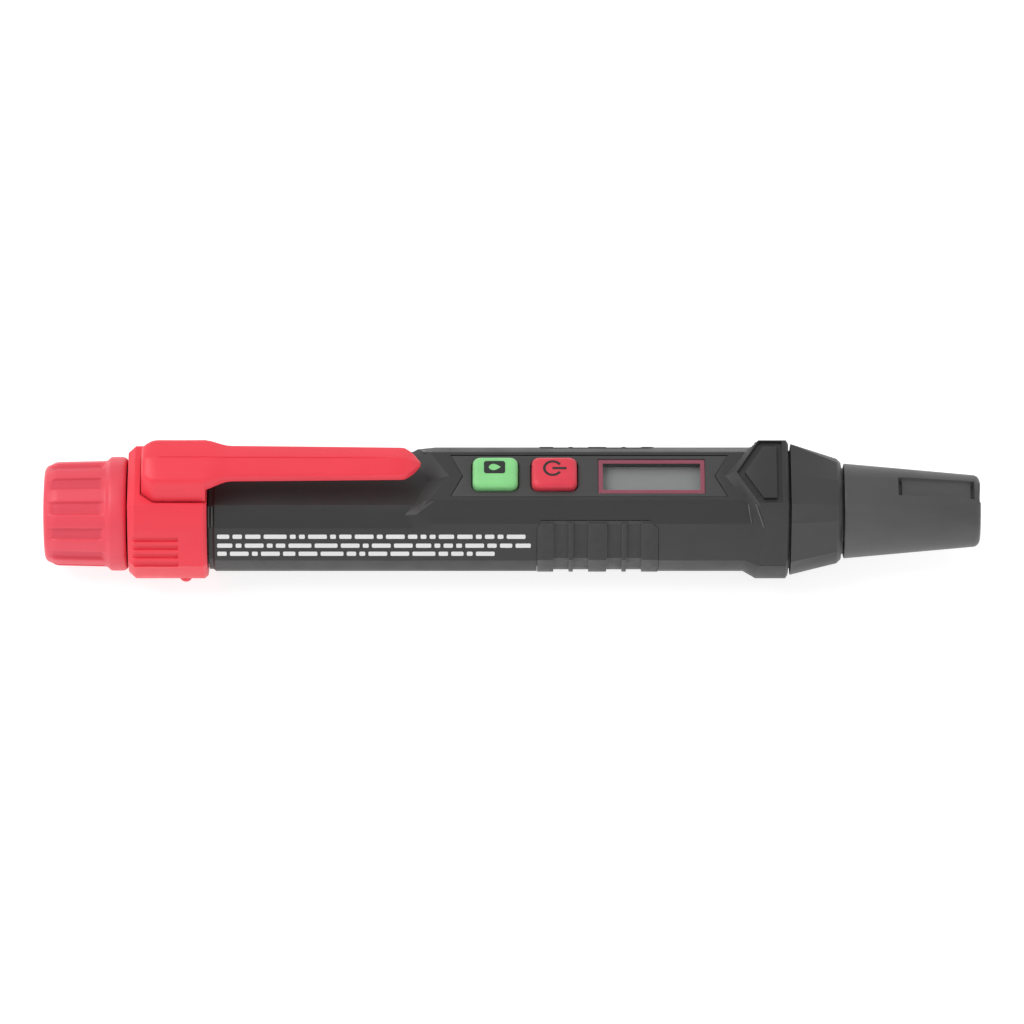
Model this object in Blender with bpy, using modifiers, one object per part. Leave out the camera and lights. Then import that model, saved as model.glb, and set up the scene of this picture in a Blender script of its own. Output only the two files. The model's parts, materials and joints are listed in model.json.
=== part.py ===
"""A pen-type pH meter, lying on its back with the display up.

Run with: blender --background --python part.py

Axes: +X runs from the battery cap to the probe, +Y across the pen, +Z out of the display. The origin is
under the middle of the pen, on the surface that it lies on. Sizes below are in millimetres, and heights
in the section tables are measured from the pen's long axis, which is AXIS_HEIGHT above that surface.
"""

import math

import bmesh
import bpy
from mathutils import Matrix, Vector

MM = 0.001

# Driving dimensions
LENGTH = 160.0
AXIS_HEIGHT = 10.6
BATTERY_AXIS = -0.5
PROBE_AXIS = 0.3
PARTING = 0.9
PARTING_GAP = 0.15
FIT = 0.3
WALL = 1.8

# Stations along the pen
TAIL = -LENGTH / 2
TIP = LENGTH / 2
CAP_MOUTH = -65.75
REAR_COLLAR = (-65.45, -51.95)
SHELL_START = -62.5
GROOVE_END = -51.0
RAMP_FACET = (0.42, 0.61)
COLLAR_RAMP = (39.4, 41.6)
SHELL_END = 47.1
CONE = (47.5, 56.2)
PROBE_CAP_MOUTH = 56.65

# Cross-sections: (half-width, height) of the front edge, the shoulder and the side edge, then the
# half-width, depth and flat of the rounded back
BODY_REAR = ((4.95, 8.7), (8.1, 6.35), (10.75, 1.0), (10.4, 9.56, 9.3))
BODY_FRONT = ((5.0, 10.5), (8.1, 7.65), (10.75, 1.0), (10.4, 9.56, 9.3))
NOSE_COLLAR = ((6.7, 11.6), (8.8, 8.15), (11.9, 1.0), (11.6, 11.0, AXIS_HEIGHT))
TAIL_COLLAR = ((6.1, 10.55), (8.9, 7.0), (11.9, 0.6), (11.6, 11.0, AXIS_HEIGHT))
BACK_ARC = (96.0, 7)

# Display face
PANEL_LEVEL = 10.4
PANEL_HALF = 4.3
PANEL_THICK = 0.3
PANEL_GAP = 0.12
PANEL_ENDS = ((-10.4, -8.35), (36.7, 34.5))
CHEVRON_LEAN = 0.58
BADGE_FLOOR = 11.05
WINDOW_X = (14.7, 32.8)
WINDOW_Y = (-3.55, 3.55)
BORDER = 0.75
BUTTON_X = {"function": -2.85, "power": 7.2}
BUTTON_SIZE = (7.7, 6.3)
BUTTON_Y = 0.15
BUTTON_CORNER = 0.95
BUTTON_TOP = 11.9
BUTTON_GAP = 0.22
BUTTON_FLANGE = (8.15, 8.55)

# Electronics
BOARD = ((-9.0, 38.0), 5.8, (5.8, 6.6))
SCREW_X = (22.0, 36.0)
SCREW_SEAT = -8.5
SWITCH_TOP = 7.55
SWITCH_HALF = 2.2
LCD_BOTTOM = 7.45
CELL_LENGTH = 44.5
CELL_RADIUS = 5.25
CELL_REAR_END = -74.9
TUBE_INNER = 5.55
TUBE_OUTER = 6.1
TUBE_END = 16.3
NECK_RADIUS = 6.85
FLANGE_RADIUS = 7.5

# Grips: first and last station, and how far each stands out of the body
GRIP_X = (4.3, 24.9)
GRIP_PROUD = 0.12
GRIP_DEPTH = 0.8
GRIP_RECESSES = (7.05, 10.4, 16.1, 19.45)
GRIP_RECESS = 2.62
RECESS_DEPTH = 0.28
GRIP_CHAMFERS = (1.2, 2.4)
GRIP_GAP = 0.07
GRIP_TOP = 0.13
GRIP_LAST = 8

# Channel in the probe cap, which is pushed on a little turned from the display
CHANNEL_X = (66.4, 78.9)
CHANNEL_HALF = 2.05
CHANNEL_FLOOR = (6.55, 5.4)
CHANNEL_TURN = 3.2

# Pocket clip
CLIP_BASE_X = (-63.0, -52.1)
CLIP_ARM_X = (-51.8, -15.5)
CLIP_RIDGE = 15.8
CLIP_EDGE = 14.8
CLIP_UNDER = 13.3
CLIP_HALF = 3.25
SEAT_LEVEL = 10.0

# Grooves on the tail collar, as shares of the way from its shoulder to its side edge
RIB_SHARES = (0.27, 0.49, 0.72, 0.95)

SEGMENTS = 48

PALETTE = {
    "black_abs": ((0.055, 0.055, 0.057, 1.0), 0.48, 0.0),
    "red_abs": ((0.80, 0.045, 0.065, 1.0), 0.42, 0.0),
    "red_rubber": ((0.72, 0.04, 0.06, 1.0), 0.55, 0.0),
    "green_rubber": ((0.22, 0.66, 0.25, 1.0), 0.55, 0.0),
    "grip_rubber": ((0.05, 0.05, 0.05, 1.0), 0.65, 0.0),
    "overlay_film": ((0.07, 0.07, 0.072, 1.0), 0.35, 0.0),
    "border_ink": ((0.55, 0.06, 0.10, 1.0), 0.4, 0.0),
    "clear_plastic": ((0.85, 0.88, 0.88, 0.3), 0.08, 0.0),
    "lcd_grey": ((0.30, 0.32, 0.31, 1.0), 0.25, 0.0),
    "white_plastic": ((0.80, 0.80, 0.78, 1.0), 0.5, 0.0),
    "board_green": ((0.03, 0.20, 0.09, 1.0), 0.45, 0.0),
    "chip_black": ((0.02, 0.02, 0.02, 1.0), 0.4, 0.0),
    "steel": ((0.62, 0.62, 0.64, 1.0), 0.3, 1.0),
    "brass": ((0.78, 0.58, 0.25, 1.0), 0.3, 1.0),
    "cell_wrap": ((0.10, 0.16, 0.30, 1.0), 0.35, 0.2),
    "seal_rubber": ((0.02, 0.02, 0.02, 1.0), 0.6, 0.0),
    "glass": ((0.85, 0.92, 0.90, 0.35), 0.05, 0.0),
    "ceramic": ((0.85, 0.83, 0.78, 1.0), 0.7, 0.0),
}


# ---------------------------------------------------------------- scene and materials


def clear_scene():
    for old in list(bpy.data.objects):
        bpy.data.objects.remove(old)


def new_collection(name):
    collection = bpy.data.collections.new(name)
    bpy.context.scene.collection.children.link(collection)
    return collection


def make_materials():
    made = {}
    for name, (colour, roughness, metallic) in PALETTE.items():
        material = bpy.data.materials.new(name)
        material.use_nodes = True
        shader = material.node_tree.nodes["Principled BSDF"]
        shader.inputs["Base Color"].default_value = colour
        shader.inputs["Roughness"].default_value = roughness
        shader.inputs["Metallic"].default_value = metallic
        shader.inputs["Alpha"].default_value = colour[3]
        made[name] = material
    return made


def place(name, mesh, finish=None, matrix=None):
    """Links a mesh as a node with its finish, or as a cutter when it has none."""
    made = bpy.data.objects.new(name, mesh)
    if matrix is not None:
        made.matrix_world = matrix
    if finish is None:
        CUTTERS.objects.link(made)
        made.hide_render = True
        made.display_type = "WIRE"
    else:
        PARTS.objects.link(made)
        mesh.materials.clear()
        mesh.materials.append(MATERIALS[finish])
    return made


def soften(made, angle=30.0):
    """Smooth shading that keeps edges sharper than the angle."""
    made.data.shade_smooth()
    made.data.set_sharp_from_angle(angle=math.radians(angle))
    return made


def baked(made):
    """The object's evaluated shape as a closed mesh in world space. The object itself is removed."""
    bpy.context.view_layer.update()
    graph = bpy.context.evaluated_depsgraph_get()
    mesh = bpy.data.meshes.new_from_object(made.evaluated_get(graph))
    mesh.transform(made.matrix_world)
    bpy.data.objects.remove(made)
    shape = bmesh.new()
    shape.from_mesh(mesh)
    bmesh.ops.remove_doubles(shape, verts=shape.verts, dist=1e-6)
    shape.to_mesh(mesh)
    shape.free()
    return mesh


def boolean(made, other, operation):
    modifier = made.modifiers.new(operation.lower(), "BOOLEAN")
    modifier.object = other
    modifier.operation = operation
    modifier.solver = "EXACT"
    return made


def cut(made, *cutters):
    for cutter in cutters:
        boolean(made, cutter, "DIFFERENCE")
    return made


def join(made, *others):
    for other in others:
        boolean(made, other, "UNION")
    return made


# ---------------------------------------------------------------- shapes


def box(name, x, y, z, finish=None, bevel=0.0):
    """A box between pairs of limits in millimetres. Heights are measured from the pen's axis."""
    low = Vector((x[0], y[0], z[0] + AXIS_HEIGHT)) * MM
    high = Vector((x[1], y[1], z[1] + AXIS_HEIGHT)) * MM
    bpy.ops.mesh.primitive_cube_add(size=1.0)
    cube = bpy.context.object
    mesh = cube.data
    bpy.data.objects.remove(cube)
    mesh.transform(Matrix.Diagonal((*(high - low), 1.0)))
    made = place(name, mesh, finish, Matrix.Translation((low + high) / 2))
    if bevel:
        rounding = made.modifiers.new("rounding", "BEVEL")
        rounding.width = bevel * MM
        rounding.segments = 3
        rounding.limit_method = "ANGLE"
    return made


def plate(name, outline, low, high, finish=None, along="Z"):
    """A flat outline given a thickness. It holds (x, y) pairs along Z, (y, z) along X and (x, z) along Y."""
    curve = bpy.data.curves.new(name, "CURVE")
    curve.dimensions = "2D"
    curve.fill_mode = "BOTH"
    curve.extrude = (high - low) / 2 * MM
    spline = curve.splines.new("POLY")
    spline.points.add(len(outline) - 1)
    for point, (a, b) in zip(spline.points, outline):
        point.co = (a * MM, b * MM, 0.0, 1.0)
    spline.use_cyclic_u = True
    flat = bpy.data.objects.new(name, curve)
    bpy.context.scene.collection.objects.link(flat)
    middle = (low + high) / 2 * MM
    turns = {
        "X": ((0, 0, 1, middle), (1, 0, 0, 0), (0, 1, 0, 0), (0, 0, 0, 1)),
        "Y": ((1, 0, 0, 0), (0, 0, -1, middle), (0, 1, 0, 0), (0, 0, 0, 1)),
        "Z": ((1, 0, 0, 0), (0, 1, 0, 0), (0, 0, 1, middle), (0, 0, 0, 1)),
    }
    flat.matrix_world = Matrix.Translation((0, 0, AXIS_HEIGHT * MM)) @ Matrix(turns[along])
    return place(name, baked(flat), finish)


def turned(name, profile, finish=None, axis=0.0, ring=False, segments=SEGMENTS):
    """A turned shape about X. The profile holds (x, radius) pairs that run towards -X on the outside."""
    mesh = bpy.data.meshes.new(name)
    points = [(radius * MM, 0.0, x * MM) for x, radius in profile]
    edges = [(i, i + 1) for i in range(len(points) - 1)]
    if ring:
        edges.append((len(points) - 1, 0))
    mesh.from_pydata(points, edges, [])
    lying = Matrix.Translation((0, 0, (axis + AXIS_HEIGHT) * MM)) @ Matrix.Rotation(math.pi / 2, 4, "Y")
    made = place(name, mesh, finish, lying)
    screw = made.modifiers.new("turn", "SCREW")
    screw.axis = "Z"
    screw.steps = segments
    screw.render_steps = segments
    screw.use_merge_vertices = True
    screw.merge_threshold = 0.00001
    screw.use_smooth_shade = True
    return made


def rod(name, x, radius, finish=None, axis=0.0, segments=SEGMENTS):
    """A plain round bar along X."""
    profile = [(x[1], 0.0), (x[1], radius), (x[0], radius), (x[0], 0.0)]
    return turned(name, profile, finish, axis, segments=segments)


def post(name, x, y, z, radius, finish=None, segments=24):
    """A round bar along Z."""
    bpy.ops.mesh.primitive_cylinder_add(vertices=segments, radius=radius * MM, depth=(z[1] - z[0]) * MM)
    cylinder = bpy.context.object
    mesh = cylinder.data
    bpy.data.objects.remove(cylinder)
    middle = ((z[0] + z[1]) / 2 + AXIS_HEIGHT) * MM
    return place(name, mesh, finish, Matrix.Translation((x * MM, y * MM, middle)))


def seal(name, x, major, minor, finish="seal_rubber", axis=0.0):
    """An O-ring about the X axis."""
    bpy.ops.mesh.primitive_torus_add(
        major_radius=major * MM, minor_radius=minor * MM, major_segments=40, minor_segments=10
    )
    torus = bpy.context.object
    mesh = torus.data
    bpy.data.objects.remove(torus)
    where = Matrix.Translation((x * MM, 0, (axis + AXIS_HEIGHT) * MM)) @ Matrix.Rotation(math.pi / 2, 4, "Y")
    return soften(place(name, mesh, finish, where))


def coil(name, x, radii, wire, turns, finish):
    """A compression spring along X, its radius going from the first to the second value."""
    steps = 14
    count = int(turns * steps)
    curve = bpy.data.curves.new(name, "CURVE")
    curve.dimensions = "3D"
    curve.bevel_depth = wire * MM
    curve.bevel_resolution = 1
    curve.use_fill_caps = True
    spline = curve.splines.new("POLY")
    spline.points.add(count)
    for i, point in enumerate(spline.points):
        share = i / count
        angle = 2 * math.pi * i / steps
        radius = radii[0] + (radii[1] - radii[0]) * share
        height = BATTERY_AXIS + AXIS_HEIGHT + radius * math.cos(angle)
        point.co = (
            (x[0] + (x[1] - x[0]) * share) * MM,
            radius * math.sin(angle) * MM,
            height * MM,
            1.0,
        )
    wound = bpy.data.objects.new(name + "_path", curve)
    bpy.context.scene.collection.objects.link(wound)
    return soften(place(name, baked(wound), finish), 60.0)


# ---------------------------------------------------------------- cross-sections and lofts


def half_section(section):
    """Points (y, z) from the middle of the front, round the +Y side, to the middle of the back."""
    edge, shoulder, side, (half, depth, flat) = section
    start, count = BACK_ARC
    last = math.degrees(math.acos(-flat / depth))
    points = [(0.0, edge[1]), edge, shoulder, side]
    for i in range(count):
        angle = math.radians(start + (last - start) * i / (count - 1))
        points.append((half * math.sin(angle), depth * math.cos(angle)))
    points.append((0.0, -flat))
    return points


def offset(points, distance):
    """The half section moved outwards by a distance, or inwards when it is negative."""
    moved = []
    for i, (y, z) in enumerate(points):
        before = points[i - 1] if i else (-points[1][0], points[1][1])
        after = points[i + 1] if i + 1 < len(points) else (-points[-2][0], points[-2][1])
        first = Vector((before[1] - z, y - before[0])).normalized()
        second = Vector((z - after[1], after[0] - y)).normalized()
        shift = (first + second) * distance / (1.0 + first.dot(second))
        moved.append((y + shift.x, z + shift.y))
    return moved


def between(start, end, share):
    return tuple(a + (b - a) * share for a, b in zip(start, end))


def with_middle(points, share):
    """The half section with one more point, a share of the way from its front edge to its shoulder."""
    return points[:2] + [between(points[1], points[2], share)] + points[2:]


def round_like(points, radius, centre):
    """A circle with one point at the same direction as each point of the half section."""
    circle = []
    for y, z in points:
        angle = math.atan2(y, z - centre)
        circle.append((radius * math.sin(angle), centre + radius * math.cos(angle)))
    return circle


def ring(points, stations):
    """A closed ring from a half section. Stations is one x, or one x for each point of the half."""
    if not isinstance(stations, (list, tuple)):
        stations = [stations] * len(points)
    right = [(x, y, z) for x, (y, z) in zip(stations, points)]
    left = [(x, -y, z) for x, y, z in right[-2:0:-1]]
    return right + left


def loft(name, rings, finish=None):
    """A closed solid through rings of equal length, in millimetres about the pen's axis."""
    mesh = bpy.data.meshes.new(name)
    shape = bmesh.new()
    rows = [
        [shape.verts.new((x * MM, y * MM, (z + AXIS_HEIGHT) * MM)) for x, y, z in points]
        for points in rings
    ]
    count = len(rows[0])
    for row, following in zip(rows, rows[1:]):
        for i in range(count):
            j = (i + 1) % count
            shape.faces.new((row[i], row[j], following[j], following[i]))
    shape.faces.new(rows[0][::-1])
    shape.faces.new(rows[-1])
    bmesh.ops.recalc_face_normals(shape, faces=shape.faces)
    shape.to_mesh(mesh)
    shape.free()
    return place(name, mesh, finish)


# ---------------------------------------------------------------- housing


def body_stations(centre, edge, facet, shoulder, side, back):
    """One x for each point of a half section: middle, edge, facet, shoulder, side, and then the back."""
    return [centre, edge, facet, shoulder, side] + [back] * (BACK_ARC[1] + 1)


def body_form():
    """The outside of both shells as one solid: tail neck, slim rear, ramp, display section, nose collar."""
    rear = with_middle(half_section(BODY_REAR), RAMP_FACET[0])
    front = with_middle(half_section(BODY_FRONT), RAMP_FACET[1])
    collar = with_middle(half_section(NOSE_COLLAR), 0.5)
    neck = with_middle(offset(half_section(BODY_REAR), -1.35), RAMP_FACET[0])
    groove = with_middle(offset(half_section(BODY_REAR), -0.35), RAMP_FACET[0])
    chamfer = with_middle(offset(half_section(NOSE_COLLAR), -0.6), 0.5)
    groove_start = REAR_COLLAR[1] + FIT
    rings = [
        ring(neck, SHELL_START),
        ring(neck, groove_start),
        ring(groove, groove_start),
        ring(groove, GROOVE_END),
        ring(rear, GROOVE_END + 0.4),
        ring(rear, body_stations(-14.3, -16.8, -18.2, -16.8, -17.5, -17.5)),
        ring(front, body_stations(-10.75, -14.1, -16.1, -13.1, -15.0, -15.0)),
        ring(front, body_stations(36.3, 39.8, 40.4, 41.0, 39.8, COLLAR_RAMP[0])),
        ring(collar, body_stations(38.1, 42.0, 42.65, 43.3, 42.2, COLLAR_RAMP[1])),
        ring(collar, SHELL_END - 0.4),
        ring(chamfer, SHELL_END),
    ]
    return loft("body_form", rings)


def cavity_form():
    rear = half_section(BODY_REAR)
    front = half_section(BODY_FRONT)
    neck = offset(rear, -2.45)
    inside = offset(front, -WALL)
    rings = [
        ring(neck, SHELL_START - 1.0),
        ring(neck, GROOVE_END),
        ring(offset(rear, -WALL), GROOVE_END + 1.0),
        ring(offset(rear, -WALL), -14.0),
        ring(inside, -10.5),
        ring(inside, SHELL_END + 1.0),
    ]
    return loft("cavity_form", rings)


def panel_outline(inset=0.0):
    """The display face: a ribbon whose two ends are notched inwards."""
    (left, left_notch), (right, right_notch) = PANEL_ENDS
    half = PANEL_HALF - inset
    return [
        (left + inset, -half),
        (right - inset, -half),
        (right_notch - inset, 0.0),
        (right - inset, half),
        (left + inset, half),
        (left_notch + inset, 0.0),
    ]


def rectangle(x, y):
    return [(x[0], y[0]), (x[1], y[0]), (x[1], y[1]), (x[0], y[1])]


def pentagon(tip, half, end):
    """A flat house shape that points to the tail."""
    shoulder = tip + half * CHEVRON_LEAN
    return [(tip, 0.0), (shoulder, -half), (end, -half), (end, half), (shoulder, half)]


def button_footprint(where, gap):
    half_x = BUTTON_SIZE[0] / 2 + gap
    half_y = BUTTON_SIZE[1] / 2 + gap
    middle = BUTTON_X[where]
    return (middle - half_x, middle + half_x), (BUTTON_Y - half_y, BUTTON_Y + half_y)


def button_hole(where):
    """The round-cornered outline of the hole that a button stands in."""
    (x0, x1), (y0, y1) = button_footprint(where, BUTTON_GAP)
    radius = BUTTON_CORNER + BUTTON_GAP
    corners = [(x1, y1, -1, -1, 0), (x0, y1, 1, -1, 90), (x0, y0, 1, 1, 180), (x1, y0, -1, 1, 270)]
    points = []
    for x, y, in_x, in_y, start in corners:
        for step in range(4):
            angle = math.radians(start + 30.0 * step)
            centre = (x + in_x * radius, y + in_y * radius)
            points.append((centre[0] + radius * math.cos(angle), centre[1] + radius * math.sin(angle)))
    return points


def grip_line(distance, top, bottom):
    """BODY_FRONT's outline at an offset, from above its shoulder down to its back. Top is a share of the way
    from the shoulder to the front edge, and bottom one of the way from the last back point to the next."""
    points = [Vector(point) for point in offset(half_section(BODY_FRONT), distance)]
    start = points[2].lerp(points[1], top)
    end = points[GRIP_LAST].lerp(points[GRIP_LAST + 1], bottom)
    return [start] + points[2 : GRIP_LAST + 1] + [end]


def grip_section(station, side, proud, recessed):
    """One cross-section of a grip: a lip along its top, then the band that the recesses lower."""
    lip = grip_line(proud, GRIP_TOP, 0.3)[0]
    face = grip_line(-RECESS_DEPTH if recessed else proud, 0.02, 0.3)
    back = grip_line(-GRIP_DEPTH, GRIP_TOP, 0.3)
    return [(station, side * y, z) for y, z in [lip, lip.lerp(face[0], 0.4), *face, *back[::-1]]]


def cut_grip_corners(block, side, gap):
    """Chamfers the two upper corners of a grip or of its pocket."""
    for end, (station, length) in enumerate(zip(GRIP_X, GRIP_CHAMFERS)):
        inward = 1.0 if end == 0 else -1.0
        far = station - inward * 2.0
        near = station + inward * (length - gap)
        rise = 2.0 * (length + 2.0) / length
        corner = [(far, 8.9 - rise), (near, 8.9), (near, 12.0), (far, 12.0)]
        depths = sorted((side * 3.0, side * 14.0))
        cut(block, plate(f"{block.name}_corner_{end}", corner, *depths, along="Y"))
    return block


def make_grip(label, side):
    stations = [(GRIP_X[0], False)]
    for start in GRIP_RECESSES:
        end = start + GRIP_RECESS
        stations += [(start, False), (start, True), (end, True), (end, False)]
    stations.append((GRIP_X[1], False))
    rings = [grip_section(station, side, GRIP_PROUD, recessed) for station, recessed in stations]
    return cut_grip_corners(loft(f"grip_{label}", rings, "grip_rubber"), side, 0.0)


def make_pocket(label, side):
    """The cutter for a grip's pocket in the shells."""
    start, end = GRIP_X
    outer = grip_line(2.0, GRIP_TOP + 0.03, 0.36)
    inner = grip_line(-GRIP_DEPTH - GRIP_GAP, GRIP_TOP + 0.03, 0.36)
    outline = [(side * y, z) for y, z in outer + inner[::-1]]
    rings = [[(x, y, z) for y, z in outline] for x in (start - GRIP_GAP, end + GRIP_GAP)]
    return cut_grip_corners(loft(f"pocket_{label}", rings), side, GRIP_GAP)


def make_shells(pockets):
    """The upper and the lower casing shell."""
    form = body_form()
    upper = cut(form, cavity_form())
    cut(upper, plate("panel_recess", panel_outline(-PANEL_GAP), PANEL_LEVEL - PANEL_THICK - 0.05, 12.0))
    groove = plate("badge_groove", pentagon(38.3, 6.5, 46.0), BADGE_FLOOR, 14.0)
    cut(upper, cut(groove, plate("badge_island", pentagon(39.65, 5.4, 45.05), BADGE_FLOOR - 1.0, 15.0)))
    cut(upper, *pockets)
    shell = baked(upper)
    shell.name = "shell_form"
    halves = {
        "front_shell": ((PARTING, 20.0), shell),
        "rear_shell": ((-20.0, PARTING - PARTING_GAP), shell.copy()),
    }
    made = {}
    for name, (heights, mesh) in halves.items():
        half = place(name, mesh, "black_abs")
        keep = box(f"{name}_half", (-100.0, 100.0), (-30.0, 30.0), heights)
        made[name] = boolean(half, keep, "INTERSECT")
    face = made["front_shell"]
    opening = rectangle((WINDOW_X[0] + 0.4, WINDOW_X[1] - 0.4), (WINDOW_Y[0] + 0.4, WINDOW_Y[1] - 0.4))
    cut(face, plate("window_opening", opening, 5.0, 15.0))
    for where in BUTTON_X:
        cut(face, plate(f"{where}_hole", button_hole(where), 5.0, 15.0))
    back = made["rear_shell"]
    for i, x in enumerate(SCREW_X):
        cut(back, post(f"screw_clearance_{i}", x, 0.0, (-12.0, -6.0), 1.15))
        cut(back, post(f"screw_sink_{i}", x, 0.0, (-12.0, SCREW_SEAT), 2.1))
    for shell_half in made.values():
        soften(shell_half)
    return made


def make_screws():
    """Two countersunk screws that hold the lower shell to the board carrier."""
    for i, x in enumerate(SCREW_X, 1):
        screw = post(f"shell_screw_{i}", x, 0.0, (SCREW_SEAT - 0.75, SCREW_SEAT - 0.05), 1.8, "steel")
        join(screw, post(f"screw_shank_{i}", x, 0.0, (SCREW_SEAT - 0.5, -1.0), 0.8))
        cut(screw, box(f"screw_slot_{i}", (x - 1.2, x + 1.2), (-0.18, 0.18), (-10.0, SCREW_SEAT - 0.4)))
        cut(screw, box(f"screw_cross_{i}", (x - 0.18, x + 0.18), (-1.2, 1.2), (-10.0, SCREW_SEAT - 0.4)))


def make_tail_collar():
    """The red sleeve over the tail of both shells, with the clip's seat, side ribs and index nubs."""
    start, end = REAR_COLLAR
    outside = half_section(TAIL_COLLAR)
    form = [
        ring(offset(outside, -1.1), start),
        ring(outside, start + 1.2),
        ring(outside, end - 0.6),
        ring(offset(outside, -0.55), end),
    ]
    collar = loft("tail_collar", form, "red_abs")
    for side in (-1, 1):
        angle = math.radians(126.0)
        nub_y = side * 10.75 * math.sin(angle)
        nub_z = 10.75 * math.cos(angle)
        join(collar, nub(f"nub_{side}", -55.8, nub_y, nub_z))
    inside = offset(half_section(BODY_REAR), -1.35 + FIT)
    cut(collar, loft("collar_bore", [ring(inside, start + 1.6), ring(inside, end + 1.0)]))
    cut(collar, rod("collar_hole", (start - 1.0, start + 2.0), NECK_RADIUS + 0.35, axis=BATTERY_AXIS))
    cut(collar, plate("clip_seat", seat_outline(FIT), SEAT_LEVEL - 0.05, 13.0))
    for side in (-1, 1):
        for i, share in enumerate(RIB_SHARES):
            cut(collar, rib_groove(f"rib_{side}_{i}", side, share))
    return soften(collar)


def nub(name, x, y, z):
    bpy.ops.mesh.primitive_uv_sphere_add(segments=16, ring_count=10, radius=1.2 * MM)
    ball = bpy.context.object
    mesh = ball.data
    bpy.data.objects.remove(ball)
    return place(name, mesh, None, Matrix.Translation((x * MM, y * MM, (z + AXIS_HEIGHT) * MM)))


def rib_groove(name, side, share):
    """A shallow lengthways groove on the collar's side, a share of the way from shoulder to side edge."""
    _, shoulder, edge, _ = TAIL_COLLAR
    y = shoulder[0] + (edge[0] - shoulder[0]) * share
    z = shoulder[1] + (edge[1] - shoulder[1]) * share
    lean = math.atan2(edge[0] - shoulder[0], shoulder[1] - edge[1])
    groove = box(name, (-67.0, -56.7), (-0.35, 0.35), (-0.45 - AXIS_HEIGHT, 0.45 - AXIS_HEIGHT))
    middle = Matrix.Translation((-62.0 * MM, side * y * MM, (z + AXIS_HEIGHT) * MM))
    groove.matrix_world = middle @ Matrix.Rotation(side * lean, 4, "X")
    return groove


def seat_outline(gap):
    """The clip base's footprint in its seat, which is open towards the nose."""
    half = 5.45 + gap
    start = CLIP_BASE_X[0] - gap
    return [
        (start, -half + 1.8),
        (start + 2.2, -half),
        (REAR_COLLAR[1] + 2.0, -half),
        (REAR_COLLAR[1] + 2.0, half),
        (start + 2.2, half),
        (start, half - 1.8),
    ]


# ---------------------------------------------------------------- pocket clip


def clip_ring(x, half, edge, ridge, under, foot=None):
    """One cross-section of the clip: a shallow roof on a bar, wider at its foot on the base."""
    foot = half if foot is None else foot
    return [
        (x, 0.0, ridge),
        (x, half, edge),
        (x, foot, under),
        (x, 0.0, under),
        (x, -foot, under),
        (x, -half, edge),
    ]


def make_clip():
    """The clip's base in the collar's seat, and its springy arm."""
    start, end = CLIP_BASE_X
    foot = SEAT_LEVEL + 0.25
    rings = [
        clip_ring(start, 3.2, CLIP_EDGE - 0.6, CLIP_RIDGE - 0.8, foot, 3.8),
        clip_ring(start + 0.7, 3.8, CLIP_EDGE, CLIP_RIDGE - 0.1, foot, 4.3),
        clip_ring(start + 2.0, 4.6, CLIP_EDGE + 0.2, CLIP_RIDGE + 0.1, foot, 5.4),
        clip_ring(end, 4.6, CLIP_EDGE + 0.2, CLIP_RIDGE + 0.1, foot, 5.4),
    ]
    base = loft("clip_base", rings, "red_abs")
    soften(base)
    start, end = CLIP_ARM_X
    arm = loft(
        "clip_arm",
        [
            clip_ring(start, 4.55, CLIP_EDGE + 0.2, CLIP_RIDGE + 0.1, CLIP_UNDER - 0.6),
            clip_ring(start + 0.6, 4.5, CLIP_EDGE + 0.2, CLIP_RIDGE + 0.1, CLIP_UNDER - 0.5),
            clip_ring(start + 3.8, CLIP_HALF + 0.1, CLIP_EDGE, CLIP_RIDGE, CLIP_UNDER),
            clip_ring(end - 2.8, CLIP_HALF - 0.25, CLIP_EDGE - 0.1, CLIP_RIDGE - 0.1, CLIP_UNDER),
            clip_ring(end - 1.3, 1.8, CLIP_EDGE - 0.3, CLIP_RIDGE - 0.6, CLIP_UNDER),
            clip_ring(end, 0.4, CLIP_EDGE - 0.8, CLIP_EDGE - 0.5, CLIP_UNDER + 0.3),
        ],
        "red_abs",
    )
    soften(arm)


# ---------------------------------------------------------------- display, buttons and electronics


def make_display():
    opening = rectangle(WINDOW_X, WINDOW_Y)
    floor = PANEL_LEVEL - PANEL_THICK
    overlay = plate("face_overlay", panel_outline(), floor, PANEL_LEVEL, "overlay_film")
    gap = 0.08
    hole = rectangle((WINDOW_X[0] - gap, WINDOW_X[1] + gap), (WINDOW_Y[0] - gap, WINDOW_Y[1] + gap))
    cut(overlay, plate("overlay_window", hole, 8.0, 12.0))
    for where in BUTTON_X:
        cut(overlay, plate(f"overlay_{where}", button_hole(where), 8.0, 12.0))
    plate("display_window", opening, PANEL_LEVEL - 0.15, PANEL_LEVEL, "clear_plastic")
    frame = plate("window_border", opening, floor, PANEL_LEVEL - 0.18, "border_ink")
    inner_x = (WINDOW_X[0] + BORDER, WINDOW_X[1] - BORDER)
    inner_y = (WINDOW_Y[0] + BORDER, WINDOW_Y[1] - BORDER)
    cut(frame, plate("border_opening", rectangle(inner_x, inner_y), 8.0, 12.0))
    box("lcd_panel", (13.7, 33.8), (-4.0, 4.0), (LCD_BOTTOM, LCD_BOTTOM + 1.15), "lcd_grey")
    heights = (BOARD[2][1] + 0.1, LCD_BOTTOM - 0.05)
    box("lcd_reflector", (14.4, 33.1), (-2.3, 3.8), heights, "white_plastic")
    box("lcd_connector_strip", (14.4, 33.1), (-3.8, -2.6), heights, "seal_rubber")


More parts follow.
